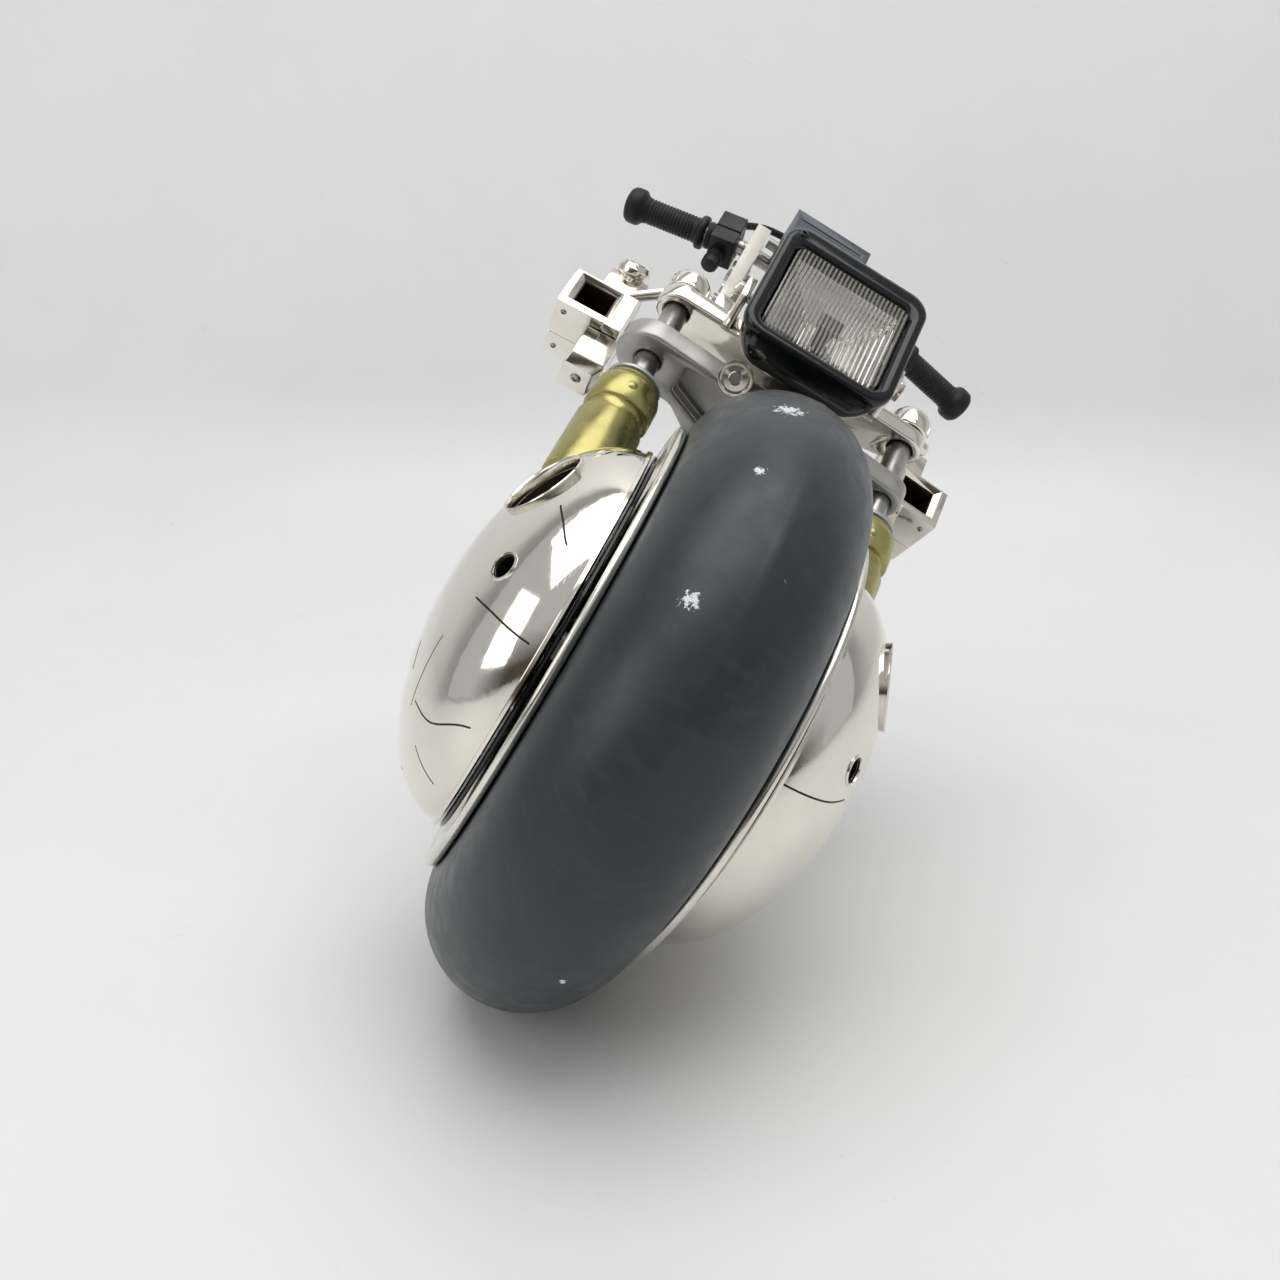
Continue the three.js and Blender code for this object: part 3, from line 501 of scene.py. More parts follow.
RED_LENS = finish("RedLens", (0.40, 0.012, 0.010), 0.10, coat=0.7, mottle=(0.4, 0.2), rough_range=0.04,
    grain=(2.0, 0.01))
LEATHER = finish("SeatLeather", (0.028, 0.024, 0.021), 0.50, mottle=(0.3, 0.25), rough_range=0.12,
    grain=(8.0, 0.01), sheen=0.1, extra=leathery)
POD_BLUE = finish("PodBlue", (0.085, 0.097, 0.115), 0.34, 0.25, coat=0.2, mottle=(0.2, 0.1), rough_range=0.08,
    grain=(5.0, 0.01))
PORT_BROWN = finish("PortBrown", (0.055, 0.030, 0.020), 0.30, 0.6, mottle=(0.5, 0.4), rough_range=0.1,
    grain=(4.0, 0.01))


def lens_glass():
    """Clear fluted glass: mostly see-through, with a sharp gloss and pale ribs painted in as streaks of light
    that stand in for the reflector seen through the flutes.
    """
    mat = finish("LensGlass", (0.40, 0.385, 0.34), 0.05, specular=0.8, coat=1.0, mottle=(0.3, 0.06),
        rough_range=0.02, grain=(2.0, 0.002))
    tree = mat.node_tree
    shader = tree.nodes["Principled BSDF"]
    wave = add(tree, "ShaderNodeTexWave", {"Vector": millimetres(tree), "Scale": FLUTE_SCALE,
        "Distortion": 0.0}, wave_type="BANDS", bands_direction="X")
    # painted light: the warm grey ribs are more opaque than the gaps between them, as streaks of the
    # reflector's light seen through the flutes
    painted_streak_alpha = remap(tree, wave.outputs["Fac"], 0.3, 0.85, 0.05, 0.5)
    tree.links.new(painted_streak_alpha, shader.inputs["Alpha"])
    return mat


LENS_GLASS = lens_glass()


# ---------------------------------------------------------------- camera and cord
def look_at(eye, forward, lens):
    data = bpy.data.cameras.new("Camera")
    cam = bpy.data.objects.new("Camera", data)
    bpy.context.scene.collection.objects.link(cam)
    forward = Vector(forward).normalized()
    right = Vector((0.9989, 0.0458, 0.0))
    right = (right - forward * right.dot(forward)).normalized()
    up = right.cross(forward)
    turn = Matrix((right, up, -forward)).transposed().to_4x4()
    cam.matrix_world = Matrix.Translation(eye) @ turn
    data.sensor_width = 36
    data.lens = lens
    data.clip_start = 0.002
    data.clip_end = 20
    data.dof.use_dof = False
    bpy.context.scene.camera = cam


look_at(HUB + Vector((6.8, -154.4, 48.5)) * MM, (-0.0442, 0.9648, -0.2588), 36.08)

CABLE = [(-19.4, 10, 90.6), (-18.6, 10.6, 93.6), (-14, 11.4, 97), (-6, 11.8, 97.6), (0, 11.6, 94),
    (0.4, 11.4, 88),
         (0.2, 11, 78), (0.6, 10.6, 70), (1, 10.2, 66.5)]
cable = piece("throttle_cable_sleeve", sweep(CABLE, 0.62, n=16, per=10), BLACK_RUBBER, "front",
    ["throttle_cable"])


# ---------------------------------------------------------------- wheel
def torus_tyre():
    """The smooth tyre with its fine mould seam along the crown and a thicker bead at each side."""
    profile = []
    for i in range(97):
        a = math.radians(-139 + 278 * i / 96)
        seam = 0.07 * math.exp(-(math.degrees(a) / 0.9) ** 2)
        profile.append((11.9 * math.sin(a), 29.8 + (12.2 + seam) * math.cos(a)))
    x, r = profile[-1]
    profile += [(x - 0.5, 29.05), (x - 1.6, 29.0), (-x + 1.6, 29.0), (-x + 0.5, 29.05)]
    profile = [(px, max(pr, 29.0)) for px, pr in profile]
    return lathe(profile, "x", 288)


piece("tyre_rubber_ring", torus_tyre(), TYRE_RUBBER, "wheel", ["tyre"], sharp=60)

# (distance from the middle, radius) round one half of the rim, then mirrored.
RIM_HALF = [(0, 28.6), (4, 28.6), (10.9, 28.6), (12.0, 28.8), (12.0, 30.6), (12.2, 31.0), (12.7, 31.15),
    (13.1, 31.0), (13.2, 30.4),
            (13.05, 29.6), (12.95, 28.5), (12.6, 28.0), (11.6, 27.2), (11.0, 26.95), (4, 26.9), (0, 26.9)]
rim_profile = RIM_HALF + [(-x, r) for x, r in reversed(RIM_HALF[1:-1])]
piece("rim_ring", lathe(rim_profile, "x", 240), RIM_METAL, "wheel", ["rim"], bevel=0.08, sharp=40)

# ---------------------------------------------------------------- hub covers
COVER_R, COVER_H, COVER_FACE = 26.2, 13.9, 14.3


def cover_point(y, z, lift=0.0):
    """A point on the left cover's dome, lifted off it along its normal."""
    h = math.sqrt(max(0.0, 1 - (y * y + z * z) / COVER_R ** 2))
    p = Vector((COVER_FACE + COVER_H * h, y, z))
    n = Vector(((p.x - COVER_FACE) / COVER_H ** 2, y / COVER_R ** 2, z / COVER_R ** 2)).normalized()
    return p + n * lift


def dome():
    outer = []
    for i in range(46):
        t = math.radians(90 - 90 * i / 45)
        outer.append((COVER_FACE + COVER_H * math.sin(t), COVER_R * math.cos(t)))
    lip = [(14.95, 26.3), (14.85, 26.62), (14.5, 26.72), (14.3, 26.6), (14.3, 24.9)]
    inner = []
    for i in range(24):
        t = math.radians(3 + 87 * i / 23)
        inner.append((COVER_FACE + (COVER_H - 1.5) * math.sin(t), (COVER_R - 1.5) * math.cos(t)))
    inner[-1] = (COVER_FACE + COVER_H - 1.5, 0)
    return lathe(outer[:-1] + lip + inner, "x", 176)


def groove(points, radius=0.13, lift=0.02):
    """A thin tube lying in the dome's surface.
    It is cut out of the dome as a panel line, or laid in the cut as its dark filling."""
    path = []
    flat = smooth_path([(0, y, z) for y, z in points], 10)
    for _, y, z in flat:
        path.append(tuple(cover_point(y, z, lift)))
    return sweep(path, radius, n=8, smooth=False)


# (y, z) of the panel lines on each cover.
LINES_LEFT = [[(-22.6, -13.2), (-20, -10.9), (-17.6, -8.3)]]
LINES_RIGHT = [[(-17.3, -9.4), (-19.8, -11.4), (-22.1, -13.7)],
    [(-12.1, -12.8), (-8.2, -15.7), (-4.1, -18.6)],
               [(-4.0, -10.8), (-3.2, -14.1)], [(-5.6, -18.5), (-8.9, -21.3), (-13.9, -21.7)],
               [(-3.9, -22.5), (-3.7, -25.4)],
               [(-23.2, 2.7), (-24.4, 0.1), (-25.2, -2.7)]]
MORE_LINES = [[(20, -12), (14, -18), (6, -22)], [(22, 2), (22.5, 8), (19, 15)],
    [(8, 21), (0, 23.4), (-8, 22.6)]]
# (y, z) of the two openings in each cover, and their radii.
PORT, PORT_R = (-17.5, 8.0), 5.2
PEEP, PEEP_R = (-20.2, -5.9), 1.55


def port_axis(at, length_in, length_out):
    p = cover_point(*at)
    n = (cover_point(*at, 1.0) - p).normalized()
    return p - n * length_in, p + n * length_out


FORK_X = {"left": 18.4, "right": 20.8}
for side, sign in SIDES:
    leg = FORK_X[side]
    slot = rod((leg, 0, 10), (leg, 0, 42), 5.5, n=64) + rod((leg + 2, 3, 10), (leg + 2, 3, 42), 6.1, n=64)
    holes = [rod(*port_axis(PORT, 4, 3), PORT_R, n=64), rod(*port_axis(PEEP, 4, 3), PEEP_R, n=40)]
    lines = (LINES_LEFT if sign > 0 else LINES_RIGHT) + MORE_LINES
    cuts = total([slot] + holes + [groove(points) for points in lines])
    piece(f"hub_cover_shell_{side}", dome().on_side(sign), CHROME, "lower_fork",
        [f"hub_cover_{side}"],
                  sharp=30, cuts=cuts.on_side(sign))
    filling = total([groove(points, 0.075, -0.04) for points in lines])
    piece(f"cover_lines_{side}", filling.on_side(sign), MATTE_BLACK, "lower_fork", sharp=60)
    inner, outer = port_axis(PORT, 1.2, 0.5)
    collar = spun(inner, outer, [(-1.6, 5.0), (-1.6, 5.3), (1.0, 5.3), (1.28, 5.42), (1.4, 5.3), (1.3, 5.1),
        (0.9, 5.0)], 72)
    piece(f"port_collar_{side}", collar.on_side(sign), CHROME_CLEAN, "lower_fork", sharp=50)
    inner, outer = port_axis(PORT, 4.4, 0.5)
    cup = [(-1.5, 0), (-1.5, 5.0), (3.2, 5.05), (3.2, 4.8), (-0.2, 4.7), (-0.9, 4.2), (-1.1, 0)]
    piece(f"port_cup_{side}", spun(inner, outer, cup, 56).on_side(sign), PORT_BROWN, "lower_fork",
        sharp=40)
    inner, outer = port_axis(PEEP, 2.0, 0.5)
    sleeve = [(0.2, 1.58), (0.2, 1.8), (1.7, 1.8), (1.98, 1.92), (2.12, 1.85), (2.12, 1.66), (1.9, 1.58)]
    piece(f"peep_sleeve_{side}", spun(inner, outer, sleeve, 40).on_side(sign), CHROME_CLEAN, "lower_fork",
        sharp=40)
    well = [(-1.5, 0), (-1.5, 1.5), (1.7, 1.53), (1.7, 1.40), (-1.1, 1.3), (-1.2, 0)]
    piece(f"peep_well_{side}", spun(inner, outer, well, 40).on_side(sign), MATTE_BLACK, "lower_fork",
        sharp=40)
    back = [(13.4, 2.4), (13.4, 26.2), (13.6, 26.5), (13.9, 26.4), (14.0, 26.0), (14.0, 23), (13.85, 22.7),
        (13.85, 9), (14.0, 8.6), (14.0, 2.4)]
    clear = rod((leg, 0, 17), (leg, 0, 42), 5.3, n=48)
    piece(f"cover_backing_{side}", lathe(back, "x", 160).on_side(sign), GLOSS_BLACK, "lower_fork",
        [f"cover_back_{side}"],
          sharp=40, cuts=clear.on_side(sign))

# ---------------------------------------------------------------- fork
SLIDER = [(22, 2.0), (22, 4.5), (22.3, 4.85), (23, 4.9), (33.3, 4.9), (33.7, 4.75), (33.85, 4.35),
    (34.1, 4.25), (35.3, 4.25), (35.6, 4.4),
          (35.75, 4.78), (36.0, 4.9), (39.6, 4.88), (40.3, 4.7), (40.8, 4.3), (41.2, 4.15), (41.5, 4.05),
          (41.5, 2.1), (36, 2.0)]
SEAL = [(41.8, 2.1), (41.8, 3.95), (41.95, 4.15), (42.2, 4.2), (42.4, 4.05), (42.45, 3.75), (42.6, 3.7),
    (42.75, 3.72), (42.9, 3.6),
        (43.0, 3.3), (43.25, 2.9), (43.35, 2.5), (43.35, 2.1)]
TUBE = [(28, 0), (28, 1.6), (28.3, 1.85), (60.9, 1.85), (61.15, 1.7), (61.15, 0)]
for side, sign in SIDES:
    x = FORK_X[side] * sign
    piece(f"fork_slider_tube_{side}", lathe(SLIDER, "z", 96).move(x), GOLD, "lower_fork",
        [f"fork_slider_{side}"], sharp=40)
    band = spun((x, -4.55, 38.2), (x, -5.0, 38.2), [(0, 0), (0, 0.75), (0.35, 0.7), (0.5, 0.45), (0.55, 0)],
        24)
    piece(f"slider_boss_{side}", band, GOLD, "lower_fork", sharp=40)
    piece(f"fork_seal_ring_{side}", lathe(SEAL, "z", 72).move(x), PALE_SATIN, "lower_fork",
        [f"fork_seal_{side}"], sharp=40)
    piece(f"fork_tube_bar_{side}", lathe(TUBE, "z", 48).move(x), STEEL, "front",
        [f"fork_tube_{side}"], sharp=40)

# ---------------------------------------------------------------- clamps
def clamp_outline(left, right, front, back, waist):
    """A triple clamp seen from above: a lobe of the given radius round each leg, and a waisted bridge."""
    points = []
    for i in range(19):
        a = math.radians(-95 + 165 * i / 18)
        points.append((FORK_X["left"] + left * math.cos(a), left * math.sin(a)))
    points += [(13.5, waist), (8.5, back - 0.6), (5, back), (-5, back), (-8.5, back - 0.6),
        (-15, waist + 0.8)]
    for i in range(19):
        a = math.radians(110 + 165 * i / 18)
        points.append((-FORK_X["right"] + right * math.cos(a), right * math.sin(a)))
    return points + [(-9, front), (9, front)]


def clamp_bores(low, high):
    legs = total(rod((s * FORK_X[side], 0, low), (s * FORK_X[side], 0, high), 1.95, n=40) for side,
        s in SIDES)
    return legs + rod((0, 8, low), (0, 8, high), 2.15, n=40)


lower = clamp_outline(3.4, 5.2, -4.4, 12.6, 5.0)
pockets = prism([(7, -2.8), (14, -2.2), (14, 2.2), (9, 6.5), (7, 6.5)], 46.5, 49.2) \
    + prism([(-7, 6.5), (-9, 6.5), (-15.6, 2.8), (-15.6, -3.0), (-7, -2.9)], 46.5, 49.2)
piece("lower_clamp_yoke", prism(lower, 47.5, 51), SATIN, "front", ["lower_clamp"], bevel=0.5,
    segments=3,
      cuts=pockets + clamp_bores(46, 52))
step_plate = prism(clamp_outline(2.6, 4.2, -3.5, 11.6, 4.0), 50.9, 51.7)
piece("lower_clamp_step", step_plate, SATIN, "front", bevel=0.3, segments=3,
    cuts=clamp_bores(46, 53))
upper = clamp_outline(3.1, 3.4, -3.4, 12.0, 4.2)
piece("upper_clamp_yoke", prism(upper, 58.4, 61.2), CHROME_CLEAN, "front", ["upper_clamp"],
    bevel=0.4, segments=3,
      cuts=clamp_bores(57, 63))

stem = rod((0, 8, 47.5), (0, 8, 62.2), 2.1, n=48) + prism(hexagon(3.6, (0, 8)), 61.5,
    63.8) + rod((0, 8, 63.8), (0, 8, 64.3), 1.6, 1.3)
piece("steering_stem_nut", stem, STEEL, "front", ["steering_stem"], bevel=0.15)

CAP = [(61.5, 0), (61.5, 2.9), (61.7, 3.15), (64.0, 3.2), (64.5, 3.1), (64.9, 2.7), (65.4, 2.55),
    (65.45, 1.7), (65.6, 1.5), (66.1, 1.45),
       (66.2, 1.3), (65.9, 0.7), (65.9, 0)]
for side, sign in SIDES:
    x = FORK_X[side] * sign
    studs = total(block(0.9, 0.5, 1.5).move(0, -3.1, 63).turn("Z", 60 * k).move(x) for k in range(6))
    piece(f"fork_cap_top_{side}", lathe(CAP, "z", 64).move(x) + studs, CHROME_CLEAN, "front",
        [f"fork_cap_{side}"],
          bevel=0.08, sharp=40)


# ---------------------------------------------------------------- intakes and reservoirs
def window(w, h, y0, y1, w1, h1, at):
    """A four-sided hole from y0 to y1, narrowing from w x h to w1 x h1."""
    rings = []
    for y, ww, hh in ((y0, w, h), (y1, w1, h1)):
        rings.append([(at[0] + sx * ww / 2, y, at[1] + sz * hh / 2) for sx,
            sz in ((-1, -1), (1, -1), (1, 1), (-1, 1))])
    return loft(rings)


INTAKE_W, INTAKE_D, INTAKE_H = 10.6, 11.8, 7.4
STEP = [(-3, -3.4), (2.4, -3.4), (3, -1), (3, 3.4), (-1.6, 3.4), (-3, 1)]
MOUTH = (0.6, 0.5)
for side, sign in SIDES:
    out = 29.2 if sign > 0 else 28.0
    place = Matrix.Translation((-4 + sign * out, 7, 59.1)) @ Matrix.Rotation(math.radians(4.5 * sign), 4, "Z")
    hood = block(INTAKE_W, INTAKE_D, INTAKE_H, (0, INTAKE_D / 2, 0))
    seams = [block(INTAKE_W + 1, 0.22, 0.3, (0, 7.3, s * INTAKE_H / 2)) for s in (-1, 1)]
    seams += [block(0.3, 0.22, INTAKE_H + 1, (s * INTAKE_W / 2, 7.3, 0)) for s in (-1, 1)]
    seams += [block(0.22, 7.4, 0.3, (-2.4, 3.6, -INTAKE_H / 2)), block(6, 0.2, 0.3, (1.6, 3.2, INTAKE_H / 2))]
    louvres = [block(0.3, 3.0, 0.55, (s * INTAKE_W / 2, 9.7, -1.6 + 1.2 * k)) for k in range(3) for s in (-1,
        1)]
    cuts = total([window(7.6, 6.2, -0.2, 0.75, 5.6, 4.6, MOUTH),
        window(5.6, 4.6, 0.4, 8.5, 5.6, 4.6, MOUTH)] + seams + louvres)
    piece(f"intake_hood_{side}", hood.on_side(sign).apply(place), CHROME_CLEAN, "front",
        [f"intake_{side}"], bevel=0.16,
          cuts=cuts.on_side(sign).apply(place))
    throat = total([block(5.5, 7.4, 0.12, (0.6, 4.7, 0.5 + s * 2.22)) for s in (-1, 1)]
                   + [block(0.12, 7.4, 4.5, (0.6 + s * 2.72, 4.7, 0.5)) for s in (-1, 1)] + [block(5.5, 0.12,
                   4.5, (0.6, 8.35, 0.5))])
    piece(f"intake_throat_{side}", throat.on_side(sign).apply(place), PORT_BROWN, "front")
    step = prism(STEP, -11.1, -3.9).move(-2.9, 5.2, 0)
    facets = block(8, 3, 3, (0, 0, 0)).turn("X", 45).move(-2.9, 1.4, -11.4) + block(3, 12, 3).turn("Y",
        45).move(-6.6, 5.2, -11.4)
    piece(f"intake_step_{side}", step.on_side(sign).apply(place), CHROME_CLEAN, "front", bevel=0.22,
        cuts=facets.on_side(sign).apply(place))
    screws = bolt((-2.6, 5.4, -11.0), (0, 0, -1), 0.9, 0.45) + bolt((3.8, 2.0, -3.65), (0, 0, -1), 0.5,
        0.3) + bolt((3.8, 10, -3.65), (0, 0, -1), 0.5, 0.3)
    screws = screws + bolt((4.0, 1.8, 3.65), (0, 0, 1), 0.5, 0.3) + bolt((-4.0, 1.8, 3.65), (0, 0, 1), 0.5,
        0.3)
    piece(f"intake_screws_{side}", screws.on_side(sign).apply(place), STEEL, "front")
    pot_place = place @ Matrix.Translation((-1.6 * sign, 7.2, 4.0))
    slots = block(6.8, 0.2, 0.3, (0, -1.2, 7.6)) + block(0.3, 6.4, 0.25, (3.2, 0, 2.4)) + block(0.3, 6.4,
        0.25, (-3.2, 0, 2.4))
    piece(f"reservoir_block_{side}", block(6.4, 6, 7.6, (0, 0, 3.8)).on_side(sign).apply(pot_place),
        CHROME_CLEAN, "front",
          [f"reservoir_{side}"], bevel=0.3, cuts=slots.on_side(sign).apply(pot_place))
    can = [(-1.0, 0), (-1.0, 2.1), (2.2, 2.15), (2.5, 2.55), (2.7, 2.7), (3.6, 2.7), (3.9, 2.45), (4.35, 2.3),
        (4.45, 2.0), (4.25, 1.75), (4.2, 1.0),
           (4.5, 0.9), (4.5, 0)]
    axis = (0, -0.4, 6.8), (0, -3.6, 10)
    pot = spun(*axis, can, 56)
    n = Vector((0, -0.707, 0.707))
    cross = Vector(axis[0]) + n * 4.45
    bar = block(2.6, 0.42, 0.3).apply(Matrix.Translation(cross) @ n.to_track_quat("Z",
        "Y").to_matrix().to_4x4())
    piece(f"reservoir_cap_{side}", (pot + bar).on_side(sign).apply(pot_place), CHROME_CLEAN, "front",
        bevel=0.06, sharp=40)
    cap = Vector((FORK_X[side] * sign, 0, 63.6))
    socket = Vector((-4 + sign * (out - 1.6), 10.8, 64.3))
    along = (socket - cap).normalized()
    a = cap + along * 3.6
    reach = (socket - along * 0.9 - a).length
    thread = [(0, 0)]
    steps = max(6, int(reach / 0.22))
    for k in range(steps + 1):
        thread.append((reach * k / steps, 0.9 if k % 2 else 0.72))
    thread.append((reach, 0))
    piece(f"intake_stay_thread_{side}", spun(a, a + along, thread, 32), CHROME_CLEAN, "front",
        [f"intake_stay_{side}"], sharp=60)

# ---------------------------------------------------------------- bars
BAR_X, BAR_Y, BAR_Z, BEND, SWEEP = -4.0, 8.5, 86.5, 12.9, math.radians(13)


def on_bar(sign, s):
    out = max(0.0, s - BEND)
    return Vector((BAR_X + sign * (min(s, BEND) + out * math.cos(SWEEP)), BAR_Y + out * math.sin(SWEEP),
        BAR_Z))


def bar_place(sign, s):
    turn = sign * SWEEP + (0 if sign > 0 else math.pi)
    return Matrix.Translation(on_bar(sign, s)) @ Matrix.Rotation(turn, 4, "Z")


stations = [32.5, 24, BEND + 1, BEND, BEND - 1, 6]
bar_path = [on_bar(-1, s) for s in stations] + [on_bar(1, s) for s in reversed(stations)]
piece("handlebar_tube", sweep([tuple(p) for p in bar_path], 1.28, n=36, per=6), STEEL, "front",
    ["handlebar"], sharp=50)

RISER = [(-1.5, 61.5), (6.5, 61.5), (6.2, 66), (8.4, 80.5), (12, 83.4), (12, 88.4), (10.6, 90.2), (5.4, 90.2),
    (4.4, 80.5), (1, 71),
         (-1.5, 65.6)]
for side, sign in SIDES:
    x = BAR_X + sign * 11.5
    bores = total(rod((-3, y, z), (3, y, z), r, n=40) for y, z,
        r in ((8.5, 86.5, 1.45), (2.8, 66.6, 1.3), (5.6, 77, 1.2), (4.2, 72, 0.9)))
    relief = prism([(5.6, 80.9), (7.4, 82.6), (8.6, 81.4), (7.0, 72), (6.2, 72)], 0.95, 1.6,
        "x") + prism([(0.2, 62.6), (5.4, 62.6), (5.1, 64.6), (0, 64.6)], 0.95, 1.6, "x")
    piece(f"riser_plate_{side}", prism(RISER, -1.2, 1.2, "x").move(x), CHROME_CLEAN, "front",
        [f"riser_{side}"], bevel=0.28,
          cuts=(bores + relief + relief.mirror()).move(x))
    nuts = prism(hexagon(1.7, (2.8, 66.6)), -1.9, 1.9, "x") + rod((-2.3, 2.8, 66.6), (2.3, 2.8, 66.6), 0.9,
        n=24)
    nuts = nuts + prism(hexagon(1.45, (5.6, 77)), -1.7, 1.7, "x") + rod((-1.5, 4.2, 72), (1.5, 4.2, 72), 0.85,
        n=24)
    nuts = nuts + bolt((1.1, 10.4, 88.3), (1, 0, 0), 0.6) + bolt((1.1, 10.4, 84.6), (1, 0, 0),
        0.6) + bolt((-1.1, 10.4, 88.3), (-1, 0, 0), 0.6)
    nuts = nuts + bolt((-1.1, 10.4, 84.6), (-1, 0, 0), 0.6)
    piece(f"riser_nuts_{side}", nuts.move(x), STEEL, "front", bevel=0.1)
    pod = block(4.2, 5.8, 6.6, (0, 0, 0.4))
    pod_cuts = block(5, 0.22, 8, (0, -3.0, 0)) + block(5, 6.4, 0.22, (0, 0, 0)) + rod((-3, 0, 0), (3, 0, 0),
        1.32, n=32)
    piece(f"switch_pod_shell_{side}", pod.apply(bar_place(sign, 16)), MATTE_BLACK, "front",
        [f"switch_pod_{side}"],
          bevel=0.55, segments=3, cuts=pod_cuts.apply(bar_place(sign, 16)))
    sleeve = spun((0, 0, 0), (1, 0, 0), [(1.8, 1.32), (1.8, 1.9), (2.1, 2.05), (2.9, 2.25), (3.2, 2.2),
        (3.2, 1.32)], 40)
    knob = spun((0.4, -0.6, -2), (0.7, -0.8, -6), [(0, 0), (0, 1.55), (1.6, 1.5), (1.8, 1.2), (2.2, 1.2),
        (2.4, 1.5), (3.7, 1.42), (4.0, 1.2), (4.0, 0)], 32)
    keys = block(1.4, 0.7, 1.0, (0, -3.1, 2.2)) + block(1.1, 0.6, 0.8,
        (-0.9, -3.0, -1.3)) + rod((0.8, -2.8, -1.3), (0.8, -3.5, -1.3), 0.5, n=20)
    piece(f"switch_pod_keys_{side}", (sleeve + knob + keys).apply(bar_place(sign, 16)), BLACK_RUBBER, "front",
        bevel=0.08)
    grip = [(0, 1.35), (0, 2.55), (0.2, 2.75), (0.9, 2.75), (1.15, 2.6), (1.3, 2.2), (1.5, 2.1)]
    for k in range(15):
        s = 1.9 + 0.56 * k
        grip += [(s, 2.1), (s + 0.14, 1.97), (s + 0.3, 1.97), (s + 0.44, 2.1)]
    grip += [(10.6, 2.12), (11.0, 2.35), (11.4, 2.8), (11.8, 2.95), (12.8, 2.95), (13.4, 2.85), (13.9, 2.4),
        (14.15, 1.7), (14.15, 0.6), (13.9, 0.5),
             (13.7, 0)]
    body = "throttle" if sign < 0 else "front"
    shape = spun((0, 0, 0), (1, 0, 0), [(0, 0)] + grip, 64)
    piece(f"grip_rubber_{side}", shape.apply(bar_place(sign, 19.6)), BLACK_RUBBER, body,
        [f"grip_{side}"], sharp=50)

pod = block(13.8, 6, 7.6, (-5.4, 3.4, 88.6))
faces = total(rod((-5.4 + dx, 5.9, 88.6), (-5.4 + dx, 7, 88.6), 3.0, n=48) for dx in (-3.3, 3.3)) + block(11,
    0.4, 0.25, (-5.4, 0.4, 90.6))
piece("instrument_case", pod, POD_BLUE, "front", ["instrument_pod"], bevel=0.8, segments=3,
    cuts=faces)
dials, ticks, rims = [], [], []
for dx in (-3.3, 3.3):
    at = Vector((-5.4 + dx, 5.85, 88.6))
    dials.append(rod(at, at + Vector((0, 0.12, 0)), 2.85, n=48))
    rims.append(spun(at, at + Vector((0, 1, 0)), [(0, 2.6), (0, 2.95), (0.3, 3.0), (0.45, 2.9), (0.45, 2.7),
        (0.2, 2.6)], 48))
    for k in range(11):
        a = math.radians(-45 + 27 * k)
        ticks.append(block(0.5, 0.06, 0.14, (2.1, 0.15, 0)).turn("Y", math.degrees(a)).move(*at))
    ticks.append(block(2.0, 0.08, 0.16, (0.8, 0.2, 0)).turn("Y", 70).move(*at))
piece("instrument_faces", total(dials), GLOSS_BLACK, "front")
piece("instrument_rims", total(rims), CHROME_CLEAN, "front", sharp=40)
piece("instrument_ticks", total(ticks), PALE_SATIN, "front")
piece("instrument_rod", rod((BAR_X - 10, 5, 87), (BAR_X + 10, 5, 87), 0.9), STEEL, "front")

horn_at, along = Vector((-9, -5.4, 48.2)), Vector((0, -0.8, -0.6))
dish = [(0, 0), (0, 1.0), (0.8, 1.0), (1.0, 1.6), (2.2, 2.3), (2.6, 2.5), (2.75, 2.45), (2.7, 2.2),
    (2.1, 1.8), (1.9, 1.0), (2.15, 0.8), (2.15, 0)]
piece("horn_dish", spun(horn_at, horn_at + along, dish, 64), CHROME_CLEAN, "front", ["horn"],
    sharp=40)

# ---------------------------------------------------------------- headlight
LAMP_X, LAMP_Z = -1.2, 59.0


def lamp_ring(w, h, r, y, drop=0.0, n=8):
    return upright_ring(w, h, r, y, (LAMP_X, LAMP_Z + drop), n)


def looped(rings):
    shape = loft(rings, closed=False)
    n, last = len(rings[0]), (len(rings) - 1) * len(rings[0])
    faces = [(last + k, last + (k + 1) % n, (k + 1) % n, k) for k in range(n)]
    return Shape(shape.v, shape.f + faces)


rings = []
for t, y in ((0, -15.1), (0, -15.75), (0.05, -16.1), (0.16, -16.33), (0.3, -16.4), (0.62, -16.38),
        (0.82, -16.2), (0.95, -15.9), (1, -15.55), (1, -15.1)):
    rings.append(lamp_ring(23.4 - 4.5 * t, 22.6 - 5.9 * t, 3.4 - 1.8 * t, y, -0.8 * t, 10))
boss = bolt((LAMP_X - 9.6, -16.3, LAMP_Z + 9.3), (0, -1, 0), 0.75, 0.35)
piece("headlight_rim", looped(rings) + boss, GLOSS_BLACK, "headlight", ["headlight_bezel"],
    sharp=40)

rings = [lamp_ring(21 * 0.55, 20.6 * 0.55, 1.6, -7.5), lamp_ring(18.4, 18.0, 2.2, -13.6),
    lamp_ring(19.0, 18.6, 2.4, -14.8)]
for f, y in ((1.0, -14.8), (0.99, -13.0), (0.95, -11.0), (0.89, -9.2), (0.81, -7.6), (0.74, -6.7),
        (0.66, -6.3), (0.56, -6.2)):
    rings.append(lamp_ring(22.6 * f, 22.0 * f, 3.2 * f, y))
piece("headlight_can", loft(rings), GLOSS_BLACK, "headlight", ["headlight_shell"], sharp=40)


